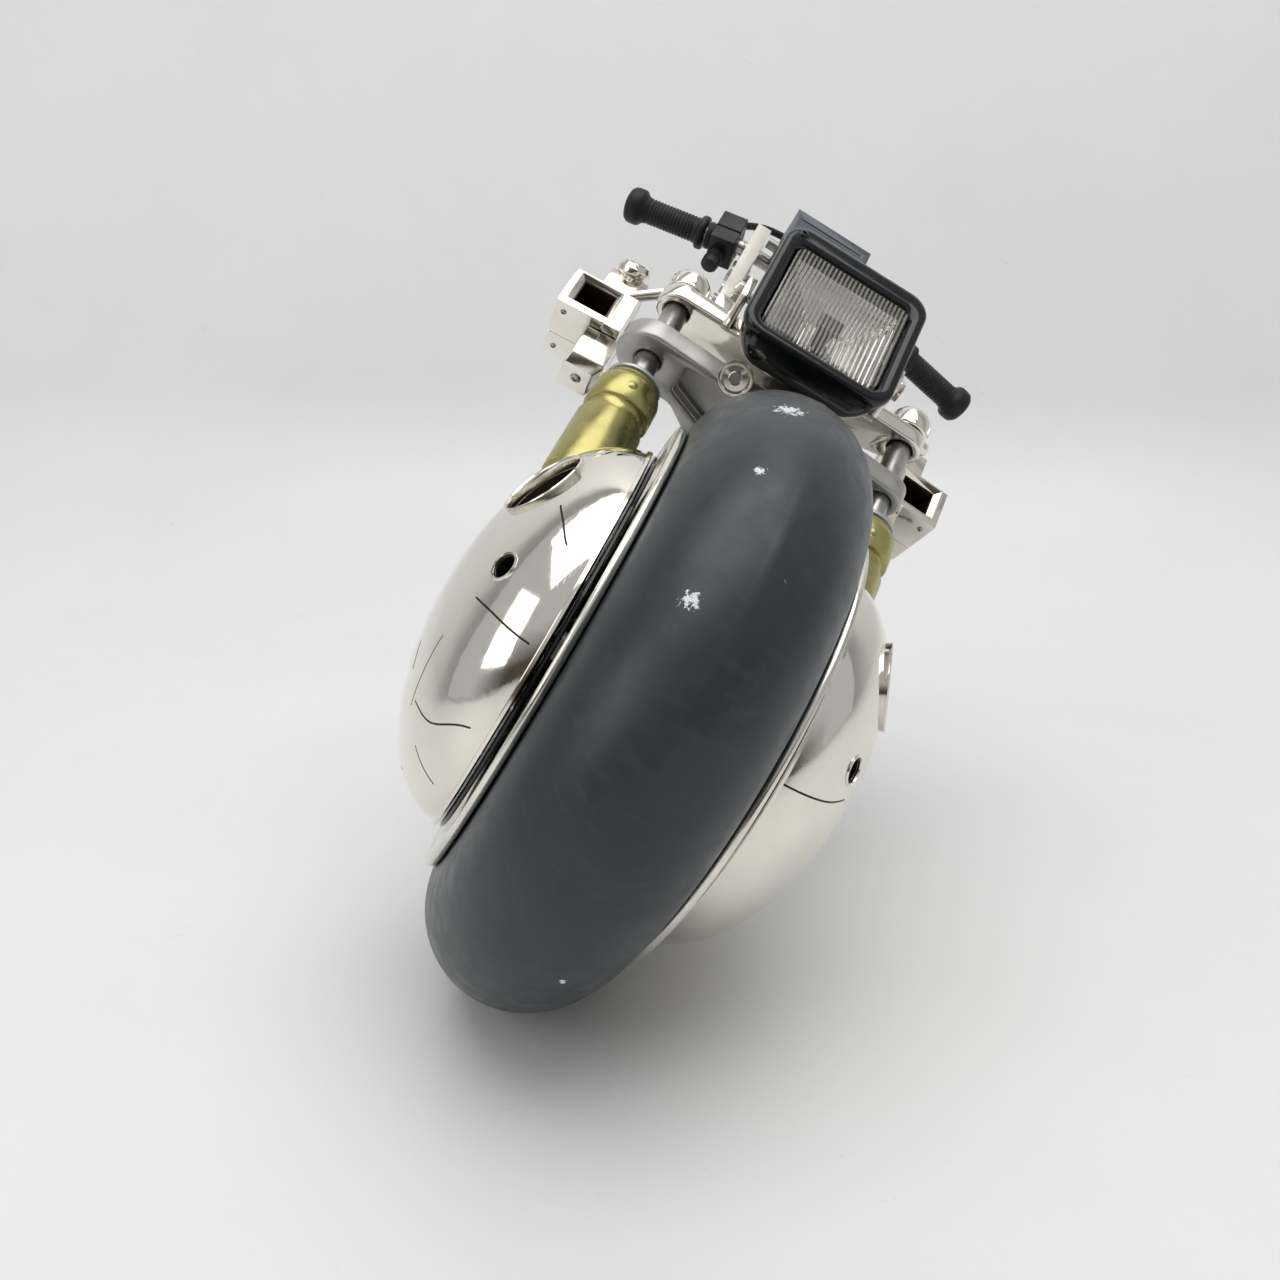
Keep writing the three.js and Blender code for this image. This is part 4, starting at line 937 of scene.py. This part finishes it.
def dish_walls():
    inner, outer = [], []
    for k in range(13):
        s = 1 - 0.74 * k / 12
        y = -8.9 - 5.5 * s * s
        inner.append([(LAMP_X + sx * 8.5 * s, y, LAMP_Z - 0.8 * s + sz * 7.6 * s) for sx,
            sz in ((-1, -1), (1, -1), (1, 1), (-1, 1))])
        outer.append([(LAMP_X + sx * 8.7 * s, y + 0.35, LAMP_Z - 0.8 * s + sz * 7.8 * s) for sx,
            sz in ((-1, -1), (1, -1), (1, 1), (-1, 1))])
    return loft(list(reversed(inner)) + outer, closed=True)


piece("headlight_dish", dish_walls(), REFLECTOR, "headlight", ["headlight_reflector"], sharp=25)
lamp_core = rod((LAMP_X, -12.8, LAMP_Z), (LAMP_X, -9.4, LAMP_Z), 1.25, n=32) + block(3.5, 0.9, 2.5,
    (LAMP_X, -13.2, LAMP_Z))
piece("headlight_bulb_shield", lamp_core, MATTE_BLACK, "headlight", ["headlight_bulb"], bevel=0.2)


def lens():
    """A flat-fronted glass with upright flutes on its back, in three tiers."""
    columns, rows = 236, 22
    front, back = [], []
    for side_y, out in ((-16.1, front), (-15.25, back)):
        for i in range(columns + 1):
            x = -9.15 + 18.3 * i / columns
            edge = max(0.0, 1.4 - (9.15 - abs(x)))
            half = 8.05 - (1.4 - math.sqrt(max(0.0, 1.96 - edge * edge)))
            for j in range(rows + 1):
                z = -half + 2 * half * j / rows
                y = side_y
                if out is back:
                    tier = 0 if abs(z) < 2.7 else 0.5
                    y += 0.17 * (0.5 + 0.5 * math.cos(2 * math.pi * (x / FLUTE_PITCH + tier)))
                else:
                    y -= 0.1 * (1 - (x / 9.2) ** 2) * (1 - (z / 8.1) ** 2)
                out.append((LAMP_X + x, y, LAMP_Z - 0.8 + z))
    n, m = columns + 1, rows + 1
    faces = []
    for i in range(columns):
        for j in range(rows):
            a, b, c, d = i * m + j, (i + 1) * m + j, (i + 1) * m + j + 1, i * m + j + 1
            faces += [(a, b, c, d), (n * m + d, n * m + c, n * m + b, n * m + a)]
    edge = [i * m for i in range(n)] + [columns * m + j for j in range(1,
        m)] + [i * m + rows for i in range(columns - 1, -1, -1)] \
        + [j for j in range(rows - 1, 0, -1)]
    for k, a in enumerate(edge):
        b = edge[(k + 1) % len(edge)]
        faces.append((b, a, n * m + a, n * m + b))
    return Shape(front + back, faces)


piece("headlight_glass", lens(), LENS_GLASS, "headlight", ["headlight_lens"], sharp=40)

ARM = [(-11.5, 57), (-7.1, 56.4), (-5.9, 55.6), (-4.8, 55.6), (-4.8, 62.4), (-7.5, 61.4), (-11.5, 61)]
arm = prism(ARM, 11.8, 13.1, "x") + rod((10.7, -9.5, 59), (14.2, -9.5, 59), 0.8,
    n=24) + prism(hexagon(1.7, (-9.5, 59)), 13.0, 14.0, "x")
yoke = arm + arm.mirror() + block(24.4, 0.9, 3, (0, -5.25, 57.1))
piece("headlight_yoke", yoke.move(LAMP_X), CHROME_CLEAN, "front", ["headlight_bracket"], bevel=0.18)


# ---------------------------------------------------------------- frame and tank
SPINE = [(0, 9, 54.7), (0, 26, 56), (0, 50, 55), (0, 80, 58.6)]
tubes = sweep(SPINE, 2.75, n=32, per=12) + sweep([(0, 47, 53), (0, 49.4, 43), (0, 51, 32.3)], 2.55, n=28,
    per=8)
tubes = tubes + sweep([(0, 72, 57), (0, 66.5, 45), (0, 60.5, 33.3)], 1.75, n=24, per=8)
welds = total(spun(a, b, [(-0.5, 0), (-0.5, r), (0, r + 0.35), (0.5, r), (0.5, 0)], 32)
              for a, b, r in (((0, 47.6, 51), (0, 49.4, 43), 2.7), ((0, 71.2, 54.6), (0, 66.5, 45), 1.9),
              ((0, 12.6, 55.1), (0, 26, 56), 2.9)))
head = spun((0, 8, 51.4), (0, 8, 58), [(0, 2.45), (0, 3.8), (0.3, 4.0), (0.9, 4.0), (1.1, 3.75), (5.5, 3.75),
    (5.7, 4.0), (6.3, 4.0), (6.6, 3.8), (6.6, 2.45)], 64)
feet = block(9, 6, 2, (0, 51.5, 33.3)) + block(7, 4, 2, (0, 60.2, 33.3))
piece("frame_tubes", tubes + welds + feet, FRAME_PAINT, "frame", ["main_frame"], bevel=0.15,
    sharp=50)
piece("frame_head", head, FRAME_PAINT, "frame", sharp=40)
feet_bolts = total(bolt((x, y, 34.25), (0, 0, 1), 0.7, 0.5) for x,
    y in ((3.4, 49.6), (-3.4, 49.6), (3.4, 53.4), (-3.4, 53.4), (2.6, 61.4), (-2.6, 61.4)))
piece("frame_bolts", feet_bolts, STEEL, "frame")


def tank():
    """A teardrop tank: full at the shoulders, waisted at the knees, flat underneath."""
    rings = []
    for k in range(27):
        u = -1 + 2 * k / 26
        y = 34 + 12.4 * u
        full = max(0.02, (1 - abs(u) ** 2.2)) ** 0.5
        ring = []
        for i in range(48):
            a = 2 * math.pi * i / 48
            knee = 1 - 0.10 * math.exp(-((u - 0.45) / 0.35) ** 2) * max(0.0, -math.sin(a) + 0.4)
            x = 8.9 * full * knee * signed_power(math.cos(a), 0.85)
            height = 9.3 * full if math.sin(a) > 0 else 2.6 * full ** 0.6
            z = 62 + height * signed_power(math.sin(a), 0.9)
            ring.append((x, y, z))
        rings.append(ring)
    return loft(rings)


groove_rings = total(sweep([(9.6 * math.cos(t) * s, 34 + 12.9 * math.sin(t), 60.9) for t in np.linspace(-1.45,
    1.45, 25)], 0.16, n=8, smooth=False) for s in (1, -1))
channel = rod((0, 18, 56.2), (0, 50, 56.2), 3.3, n=40)
piece("fuel_tank_shell", tank(), CHROME, "frame", ["fuel_tank"], cuts=groove_rings + channel,
    sharp=35)
neck = spun((0, 34, 70), (0, 34, 72), [(0, 0), (0, 3.6), (0.7, 3.5), (1.2, 2.9), (1.5, 2.3), (1.8, 1.9),
    (1.8, 0)], 56)
piece("tank_neck", neck, CHROME_CLEAN, "frame", sharp=40)
cap = [(72.1, 0), (72.1, 2.2), (72.25, 2.55), (73.2, 2.6), (73.5, 2.4), (73.6, 2.0), (73.5, 1.7), (73.5, 0)]
ribs = total(block(0.35, 0.4, 1.0, (0, 2.6, 72.7)).turn("Z", 18 * k) for k in range(20))
piece("filler_cap_knob", (lathe(cap, "z", 60) + ribs + block(3.0, 0.75, 1.0, (0, 0, 73.7))).move(0, 34, 0),
    STEEL, "filler_cap", ["fuel_cap"],
      bevel=0.08, sharp=40)

# ---------------------------------------------------------------- seat
# Room for the spine tube under the seat.
SPINE_CLEARANCE = rod((0, 40, 58.2), (0, 90, 60.0), 3.1, n=32)
PAN = [(-7, 0), (7, 0), (9, 4), (9, 24), (6, 37), (-6, 37), (-9, 24), (-9, 4)]
pan = prism([(x, y + 47.4) for x, y in PAN], 61.6, 63.2)
piece("seat_pan", pan, FRAME_PAINT, "frame", ["seat_base"], bevel=0.35, segments=3,
    cuts=SPINE_CLEARANCE)
rings = []
for y, w, low, high in ((75, 7.2, 63.1, 68.4), (77.5, 7.1, 63.1, 68.8), (80.5, 6.6, 63.1, 68.6),
        (83, 5.9, 63.2, 67.9), (84.3, 5.2, 63.6, 67.0)):
    ring = []
    for i in range(32):
        a = 2 * math.pi * i / 32
        x = w * signed_power(math.cos(a), 0.5)
        z = (low + high) / 2 + (high - low) / 2 * signed_power(math.sin(a), 0.6)
        ring.append((x, y, z))
    rings.append(ring)
piece("tail_cowl", loft(rings), FRAME_PAINT, "frame", bevel=0.3, segments=3,
    cuts=SPINE_CLEARANCE)

CUSHION_W, CUSHION_L, CUSHION_MID = 17.0, 26.2, 61.2
WELTS = (-7.2, -1.2, 4.8)
CHANNEL_X = 5.7


def cushion():
    """A crowned saddle pad: sides pulled in under the seam, three sewn channels across,
    and small sags between stitches."""
    across, along = 72, 108
    top, bottom = [], []
    for j in range(along + 1):
        v = -1 + 2 * j / along
        y = v * CUSHION_L / 2
        for i in range(across + 1):
            u = -1 + 2 * i / across
            # superellipse outline so the corners are round
            edge = max(abs(u), abs(v))
            r = (abs(u) ** 5 + abs(v) ** 5) ** 0.2
            k = edge / r if r > 1e-6 else 1.0
            px, py = u * k * CUSHION_W / 2, v * k * CUSHION_L / 2
            pull = 1 - 0.025 * (math.cos(math.pi * v * 1.5) ** 2) * abs(u)
            px *= pull
            crown = (1 - abs(u) ** 3.2) ** 0.55 * (1 - abs(v) ** 5) ** 0.5
            z = 64.4 + 3.1 * crown
            z += 0.55 * (v ** 2) * crown - 0.25 * math.exp(-(u / 0.35) ** 2) * crown
            for w in WELTS:
                z -= 0.55 * math.exp(-((py - w) / 0.42) ** 2) * crown
            for side in (-1, 1):
                z -= 0.42 * math.exp(-((px - side * CHANNEL_X) / 0.36) ** 2) * crown
            stitch = 0.06 * math.sin(py * 2 * math.pi / 1.1) * math.exp(-((abs(px) - CHANNEL_X) / 0.9) ** 2)
            z += stitch * crown + 0.10 * math.sin(px * 1.3 + 0.7 * py) * math.sin(py * 0.9) * crown
            top.append((px, py + CUSHION_MID, min(z, 68.35)))
            bottom.append((px * 0.965, py * 0.975 + CUSHION_MID, 63.35 if edge < 0.97 else 63.8))
    n = len(top)
    m = across + 1
    faces = []
    for j in range(along):
        for i in range(across):
            a, b, c, d = j * m + i, j * m + i + 1, (j + 1) * m + i + 1, (j + 1) * m + i
            faces += [(a, b, c, d), (n + d, n + c, n + b, n + a)]
    loop = [i for i in range(across + 1)] + [j * m + across for j in range(1,
        along + 1)] + [along * m + i for i in range(across - 1, -1, -1)] \
        + [j * m for j in range(along - 1, 0, -1)]
    for k, a in enumerate(loop):
        b = loop[(k + 1) % len(loop)]
        faces.append((b, a, n + a, n + b))
    return Shape(top + bottom, faces)


pad = piece("seat_cushion_pad", cushion(), LEATHER, "frame", ["seat_cushion"], sharp=80)
seam = []
for k in range(97):
    t = 2 * math.pi * k / 96
    c, s = math.cos(t), math.sin(t)
    r = (abs(c) ** 5 + abs(s) ** 5) ** -0.2
    seam.append((c * r * CUSHION_W / 2 * 0.992, s * r * CUSHION_L / 2 * 0.995 + CUSHION_MID, 64.35))
piece("seat_piping", sweep(seam, 0.3, n=10, smooth=False), BLACK_RUBBER, "frame", sharp=80)
threads = []
for side in (-1, 1):
    for k in range(21):
        threads.append(block(0.16, 0.62, 0.14, (side * CHANNEL_X, CUSHION_MID - 11 + 1.1 * k, 66.95)))
piece("seat_stitches", total(threads), PALE_SATIN, "frame", bevel=0.04)


TAIL_LAMP = (0, 65.8)
TAIL_RINGS = ((8.0, 3.8, 1.1, 84.5), (8.4, 4.2, 1.2, 84.9), (8.4, 4.2, 1.2, 85.6), (7.9, 3.7, 1.0, 86.1),
    (6.6, 2.5, 0.6, 86.3))
rings = [upright_ring(w, h, r, y, TAIL_LAMP) for w, h, r, y in TAIL_RINGS]
ribs = total(block(0.18, 1.2, 5, (x, 86.5, 65.8)) for x in (-3, -2, -1, 0, 1, 2, 3))
piece("tail_light_lens", loft(rings), RED_LENS, "frame", ["tail_light"], cuts=ribs, sharp=30)

# ---------------------------------------------------------------- engine
CASE = [(0, 3), (3, 0), (12.5, 0), (15.5, 3), (15.5, 16.5), (13.5, 18.5), (2, 18.5), (0, 16.5)]
case = prism([(y + 47.5, z + 13.5) for y, z in CASE], -11, 11, "x")
fins = total(block(24, 0.45, 0.45, (0, 47.45, 17.5 + 2.2 * k)) for k in range(6))
split = block(0.3, 30, 0.4, (0, 55, 13.5)) + block(0.3, 0.4, 30, (0, 47.5, 23)) + block(0.3, 0.4, 30,
    (0, 63, 23))
piece("engine_crankcase", case, ENGINE_ALLOY, "frame", ["engine_case"], bevel=0.5, segments=3,
    cuts=fins + split)
CENTRE = (53.6, 24.8)
for side, sign in SIDES:
    raised = [(11.0, 0), (11.0, 5.6), (11.25, 5.75), (11.5, 5.6), (11.5, 0)]
    flange = lathe(raised, "x", 64).move(0, *CENTRE)
    screws = total(bolt((11.2, CENTRE[0] + 5.15 * math.cos(a), CENTRE[1] + 5.15 * math.sin(a)), (1, 0, 0),
        0.45, 0.45)
                   for a in [math.radians(30 + 60 * k) for k in range(6)])
    piece(f"engine_flange_{side}", flange.on_side(sign), ENGINE_ALLOY, "frame", sharp=40)
    piece(f"engine_screws_{side}", screws.on_side(sign), STEEL, "frame")
    drum = [(11.3, 0), (11.3, 4.5), (12.5, 4.6), (12.9, 4.45), (13.3, 3.9), (13.45, 3.2), (13.3, 2.6),
        (13.3, 1.9), (13.6, 1.75), (13.65, 0)]
    if sign > 0:
        piece("clutch_drum", lathe(drum, "x", 72).move(0, *CENTRE), CHROME, "frame",
            ["clutch_cover"], sharp=35)
    else:
        piece("alternator_cover", lathe([(x - 0.3, r) for x, r in drum], "x", 72).move(0, *CENTRE).mirror(),
            CHROME_CLEAN, "frame", sharp=35)
    ears = total(block(4.6, 1, 2.6, (12.6, 61.2 + dy, 26)) for dy in (-2.1, 2.1)) + rod((13.4, 58.9, 26),
        (13.4, 63.5, 26), 0.68, n=24)
    piece(f"peg_bracket_{side}", ears.on_side(sign), ENGINE_ALLOY, "frame", bevel=0.18)
STAND_FOOT, SKID_FOOT = (12.24, 4.48), (-17.06, 32.48)
STAND_AXIS = Vector((-0.15826, -0.79369, 0.58738))
PIVOT = Vector((14.4, 49.8, 16.2))
lug = rod(PIVOT - STAND_AXIS * 1.9, PIVOT + STAND_AXIS * 5, 1.05, n=32) + rod(PIVOT + STAND_AXIS * 4.2,
    (9, 49, 21), 1.65, 1.85, n=32)
lug = lug + spun(PIVOT - STAND_AXIS * 1.9, PIVOT, [(-0.35, 0), (-0.35, 1.2), (-0.1, 1.35), (0.1, 1.1),
    (0.1, 0)], 6)
piece("stand_lug", lug, ENGINE_ALLOY, "frame", bevel=0.1)

LEAN_BACK = Vector((0, 0.9, 0.436)).normalized()
base = Vector((0, 63.3, 25.9))
place = aim(base, base + LEAN_BACK)
core = lathe([(0.4, 0), (0.4, 4.7), (13, 4.7), (13.1, 5.6), (14.8, 5.6), (15.0, 5.3), (15.0, 2.0),
    (14.4, 1.8), (14.4, 0)], "z", 56)
fin_list = [prism(rounded(12.4, 12.2, 4.4, 10), 3.1 + 1.0 * k, 3.45 + 1.0 * k) for k in range(10)]
trim = block(20, 6, 40, (0, 60.2, 26))
piece("cylinder_barrel", core.apply(place), ENGINE_ALLOY, "frame", ["engine_cylinder"],
    sharp=35, cuts=trim)
piece("cylinder_fins", total(fin_list).apply(place), ENGINE_ALLOY, "frame", bevel=0.07,
    cuts=trim)
head_bolts = total(bolt((4.1 * math.cos(a), 4.1 * math.sin(a), 14.9), (0, 0, 1), 0.6,
    0.5) for a in [math.radians(45 + 90 * k) for k in range(4)])
plug = lathe([(14.3, 0), (14.3, 1.2), (15.2, 1.2), (15.3, 0.8), (16.6, 0.7), (16.8, 0.4), (16.8, 0)], "z", 24)
piece("cylinder_bolts", (head_bolts + plug).apply(place), STEEL, "frame")

port = base + LEAN_BACK * 13.4
pipe = [(-6.9, port.y, port.z), (-9.4, port.y - 0.4, port.z - 0.6), (-11.8, 72, 28), (-12.4, 68, 22.6),
    (-12.4, 69.4, 18.4), (-12.4, 73.2, 20.9)]
piece("exhaust_pipe", sweep(pipe, 1.55, n=28, per=10), CHROME, "frame", ["exhaust"], sharp=60)
CAN = [(-9.4, 0), (-9.4, 1.9), (-8.9, 2.4), (-7.9, 3.6), (-7.6, 3.8), (-7.2, 3.8), (-7.1, 3.65), (-6.8, 3.65),
    (-6.7, 3.8), (7.0, 3.8), (7.1, 3.62), (7.4, 3.62),
       (7.5, 3.8), (8.4, 3.8), (9.2, 3.4), (9.6, 2.9), (9.6, 2.1), (9.2, 1.95), (4, 1.95), (4, 0)]
can = lathe(CAN, "y", 72).turn("X", 42).move(-12.4, 80, 27)
strap = lathe([(-1.2, 3.75), (-1.2, 4.05), (1.2, 4.05), (1.2, 3.75)], "y", 64).turn("X", 42).move(-12.4, 80,
    27)
piece("exhaust_can", can, CHROME, "frame", sharp=35)
hanger = sweep([(-10.2, 79, 28.6), (-8.6, 76.5, 30.6), (-5.2, 74.6, 31.2)], 0.7, n=16, per=8)
piece("exhaust_strap", strap + hanger, STEEL, "frame", sharp=40)

# ---------------------------------------------------------------- stands, pegs and gear lever
ROW_TO_VEHICLE = POSE.inverted()


def floor_point(x, y, z):
    """A point given from the floor in the row's millimetres, in the vehicle's frame."""
    return (ROW_TO_VEHICLE @ (Vector((x, y, z)) * MM)) / MM


def floor_pad(x, y, r):
    """A flat foot on the floor with an eased rim and a ribbed side."""
    profile = [(0, 0), (0, r - 0.15), (0.15, r), (0.5, r), (0.6, r - 0.12), (0.8, r - 0.12), (0.9, r - 0.05),
        (1.3, r * 0.86), (1.6, r * 0.78), (1.6, 0)]
    return spun(floor_point(x, y, 0), floor_point(x, y, 1), profile, 56)


foot = floor_point(*STAND_FOOT, 1.5)
down = (foot - PIVOT).normalized()
eye = spun(PIVOT - STAND_AXIS * 1.5, PIVOT, [(0, 1.4), (0, 2.3), (0.2, 2.5), (2.8, 2.5), (3.0, 2.3),
    (3.0, 1.4), (1.5, 1.4)], 48)
piece("side_stand_eye", eye, FRAME_PAINT, "stand", ["side_stand"], sharp=40)
leg = sweep([PIVOT + down * 2.0, PIVOT + down * 5, foot], [1.3, 1.25, 1.1], n=28, per=6, smooth=True)
piece("side_stand_leg", leg + floor_pad(*STAND_FOOT, 2.8), FRAME_PAINT, "stand", sharp=40)

skid_top = floor_point(*SKID_FOOT, 1.6)
root = Vector((8.6, 64.2, 19))
flange = block(4.4, 1.4, 5, (8.6, 64.0, 19))
piece("tail_skid_leg", sweep([root, root.lerp(skid_top, 0.5), skid_top], [1.7, 1.6, 1.5], n=28,
    per=8) + floor_pad(*SKID_FOOT, 3.2), FRAME_PAINT,
      "frame", ["tail_skid"], sharp=40)
piece("tail_skid_flange", flange, FRAME_PAINT, "frame", bevel=0.3, segments=3)
piece("tail_skid_bolts", total(bolt((8.6 + dx, 64.6, 19 + dz), (0, 1, 0), 0.5, 0.4) for dx in (-1.5,
    1.5) for dz in (-1.8, 1.8)), STEEL, "frame")

for side, sign in SIDES:
    hinge = spun((13.4, 60.0, 26), (13.4, 61.2, 26), [(0, 1.0), (0, 1.5), (0.2, 1.7), (2.2, 1.7), (2.4, 1.5),
        (2.4, 1.0)], 40)
    peg = [(1.3, 0), (1.3, 1.3)]
    for k in range(9):
        s0 = 2.2 + 0.8 * k
        peg += [(s0, 1.42), (s0 + 0.25, 1.5), (s0 + 0.5, 1.42), (s0 + 0.6, 1.25)]
    peg += [(9.2, 1.5), (9.5, 1.3), (9.5, 0)]
    shape = hinge + spun((13.4, 61.2, 26), (14.4, 61.2, 26), peg, 40)
    piece(f"footpeg_ribbed_{side}", shape.on_side(sign), BLACK_RUBBER, f"peg_{side}",
        [f"footpeg_{side}"], sharp=40)

lever = sweep([(12.3, 57.2, 17), (12.5, 60.4, 18.6), (12.3, 63.2, 21.4)], [1.0, 0.8, 0.9], n=24, per=8)
boss = spun((11.3, 57.2, 17), (12.3, 57.2, 17), [(0, 0), (0, 1.4), (0.2, 1.5), (1.7, 1.5), (1.9, 1.3),
    (1.9, 0)], 40)
toe = spun((11.7, 63.2, 21.4), (12.7, 63.2, 21.4), [(0, 0), (0, 0.7), (1.2, 0.75), (1.4, 1.0), (4.3, 1.0),
    (4.6, 0.8), (4.6, 0)], 32)
piece("gear_lever_arm", lever + boss + toe, CHROME_CLEAN, "shifter", ["gear_lever"], sharp=40)

# ---------------------------------------------------------------- parts whose modelled shape is kept
KEPT = {"wheel_hub": SATIN, "hub_bush": STEEL, "axle": STEEL, "axle_nut": STEEL,
    "fork_foot_left": MATTE_BLACK, "fork_foot_right": MATTE_BLACK}
for name, material in KEPT.items():
    NODES[name].data.materials.clear()
    NODES[name].data.materials.append(material)


# ---------------------------------------------------------------- stage
def backdrop():
    """A pale sweep: flat under the object, then curving up behind it into a plain wall."""
    profile = [(-2.0, 0.0), (-0.6, 0.0), (0.16, 0.0)]
    profile += [(0.16 + 0.07 * math.sin(math.radians(a)),
        0.07 - 0.07 * math.cos(math.radians(a))) for a in range(6, 86, 6)]
    profile += [(0.26, 0.2), (0.36, 1.6)]
    verts = [(x, y, z) for x in (-2.5, 2.5) for y, z in profile]
    n = len(profile)
    faces = [(k, k + 1, n + k + 1, n + k) for k in range(n - 1)]
    mesh = bpy.data.meshes.new("backdrop")
    mesh.from_pydata(verts, [], [tuple(reversed(f)) for f in faces])
    mesh.polygons.foreach_set("use_smooth", [True] * len(faces))
    obj = bpy.data.objects.new("backdrop", mesh)
    bpy.context.scene.collection.objects.link(obj)
    mesh.materials.append(finish("BackdropPaint", (0.80, 0.80, 0.795), 0.42, mottle=(0.02, 0.015),
        grain=(1.0, 0.015), extra=floor_marks))


def floor_marks(tree, tint, gloss, heights):
    """A few faint hair scratches and specks on the tabletop."""
    hairs = remap(tree, noise(tree, 0.3, 4.0, (0.15, 4.0, 1.0), 0.6), 0.70, 0.72)
    specks = remap(tree, noise(tree, 0.9, 2.0, rough=0.5), 0.76, 0.775)
    marks = maths(tree, "MULTIPLY", maths(tree, "MAXIMUM", hairs, specks), 0.12)
    return mixed(tree, marks, tint, (0.36, 0.36, 0.36)), gloss, heights


def area(name, at, towards, size, power, colour=(1, 1, 1)):
    data = bpy.data.lights.new(name, "AREA")
    data.shape = "RECTANGLE"
    data.size, data.size_y = size
    data.energy = power
    data.color = colour
    obj = bpy.data.objects.new(name, data)
    bpy.context.scene.collection.objects.link(obj)
    obj.matrix_world = Matrix.Translation(at) @ (Vector(towards) - Vector(at)).to_track_quat("-Z",
        "Y").to_matrix().to_4x4()


def world():
    """A pale studio; only reflections see the darker, browner room in front of the object."""
    w = bpy.data.worlds.new("Studio")
    bpy.context.scene.world = w
    w.use_nodes = True
    tree = w.node_tree
    back = tree.nodes["Background"]
    place = add(tree, "ShaderNodeTexCoord").outputs["Generated"]
    axes = add(tree, "ShaderNodeSeparateXYZ", {0: place})
    front = remap(tree, axes.outputs["Y"], -0.35, -0.85)
    height = remap(tree, axes.outputs["Z"], 0.5, 0.15)
    dark = maths(tree, "MULTIPLY", front, height)
    sky = mixed(tree, dark, (0.50, 0.51, 0.52), (0.08, 0.063, 0.05))
    seen = add(tree, "ShaderNodeLightPath").outputs["Is Camera Ray"]
    sky = mixed(tree, seen, sky, (0.62, 0.63, 0.64))
    tree.links.new(sky, back.inputs["Color"])
    back.inputs["Strength"].default_value = 1.0


backdrop()
world()
area("Overhead", (0.05, -0.12, 0.75), (0, 0.02, 0.04), (0.8, 0.6), 3.5)
area("Left", (-0.6, -0.45, 0.45), (0, 0, 0.04), (0.45, 0.5), 1.0, (1.0, 0.99, 0.97))
bpy.context.scene.view_settings.view_transform = "Standard"
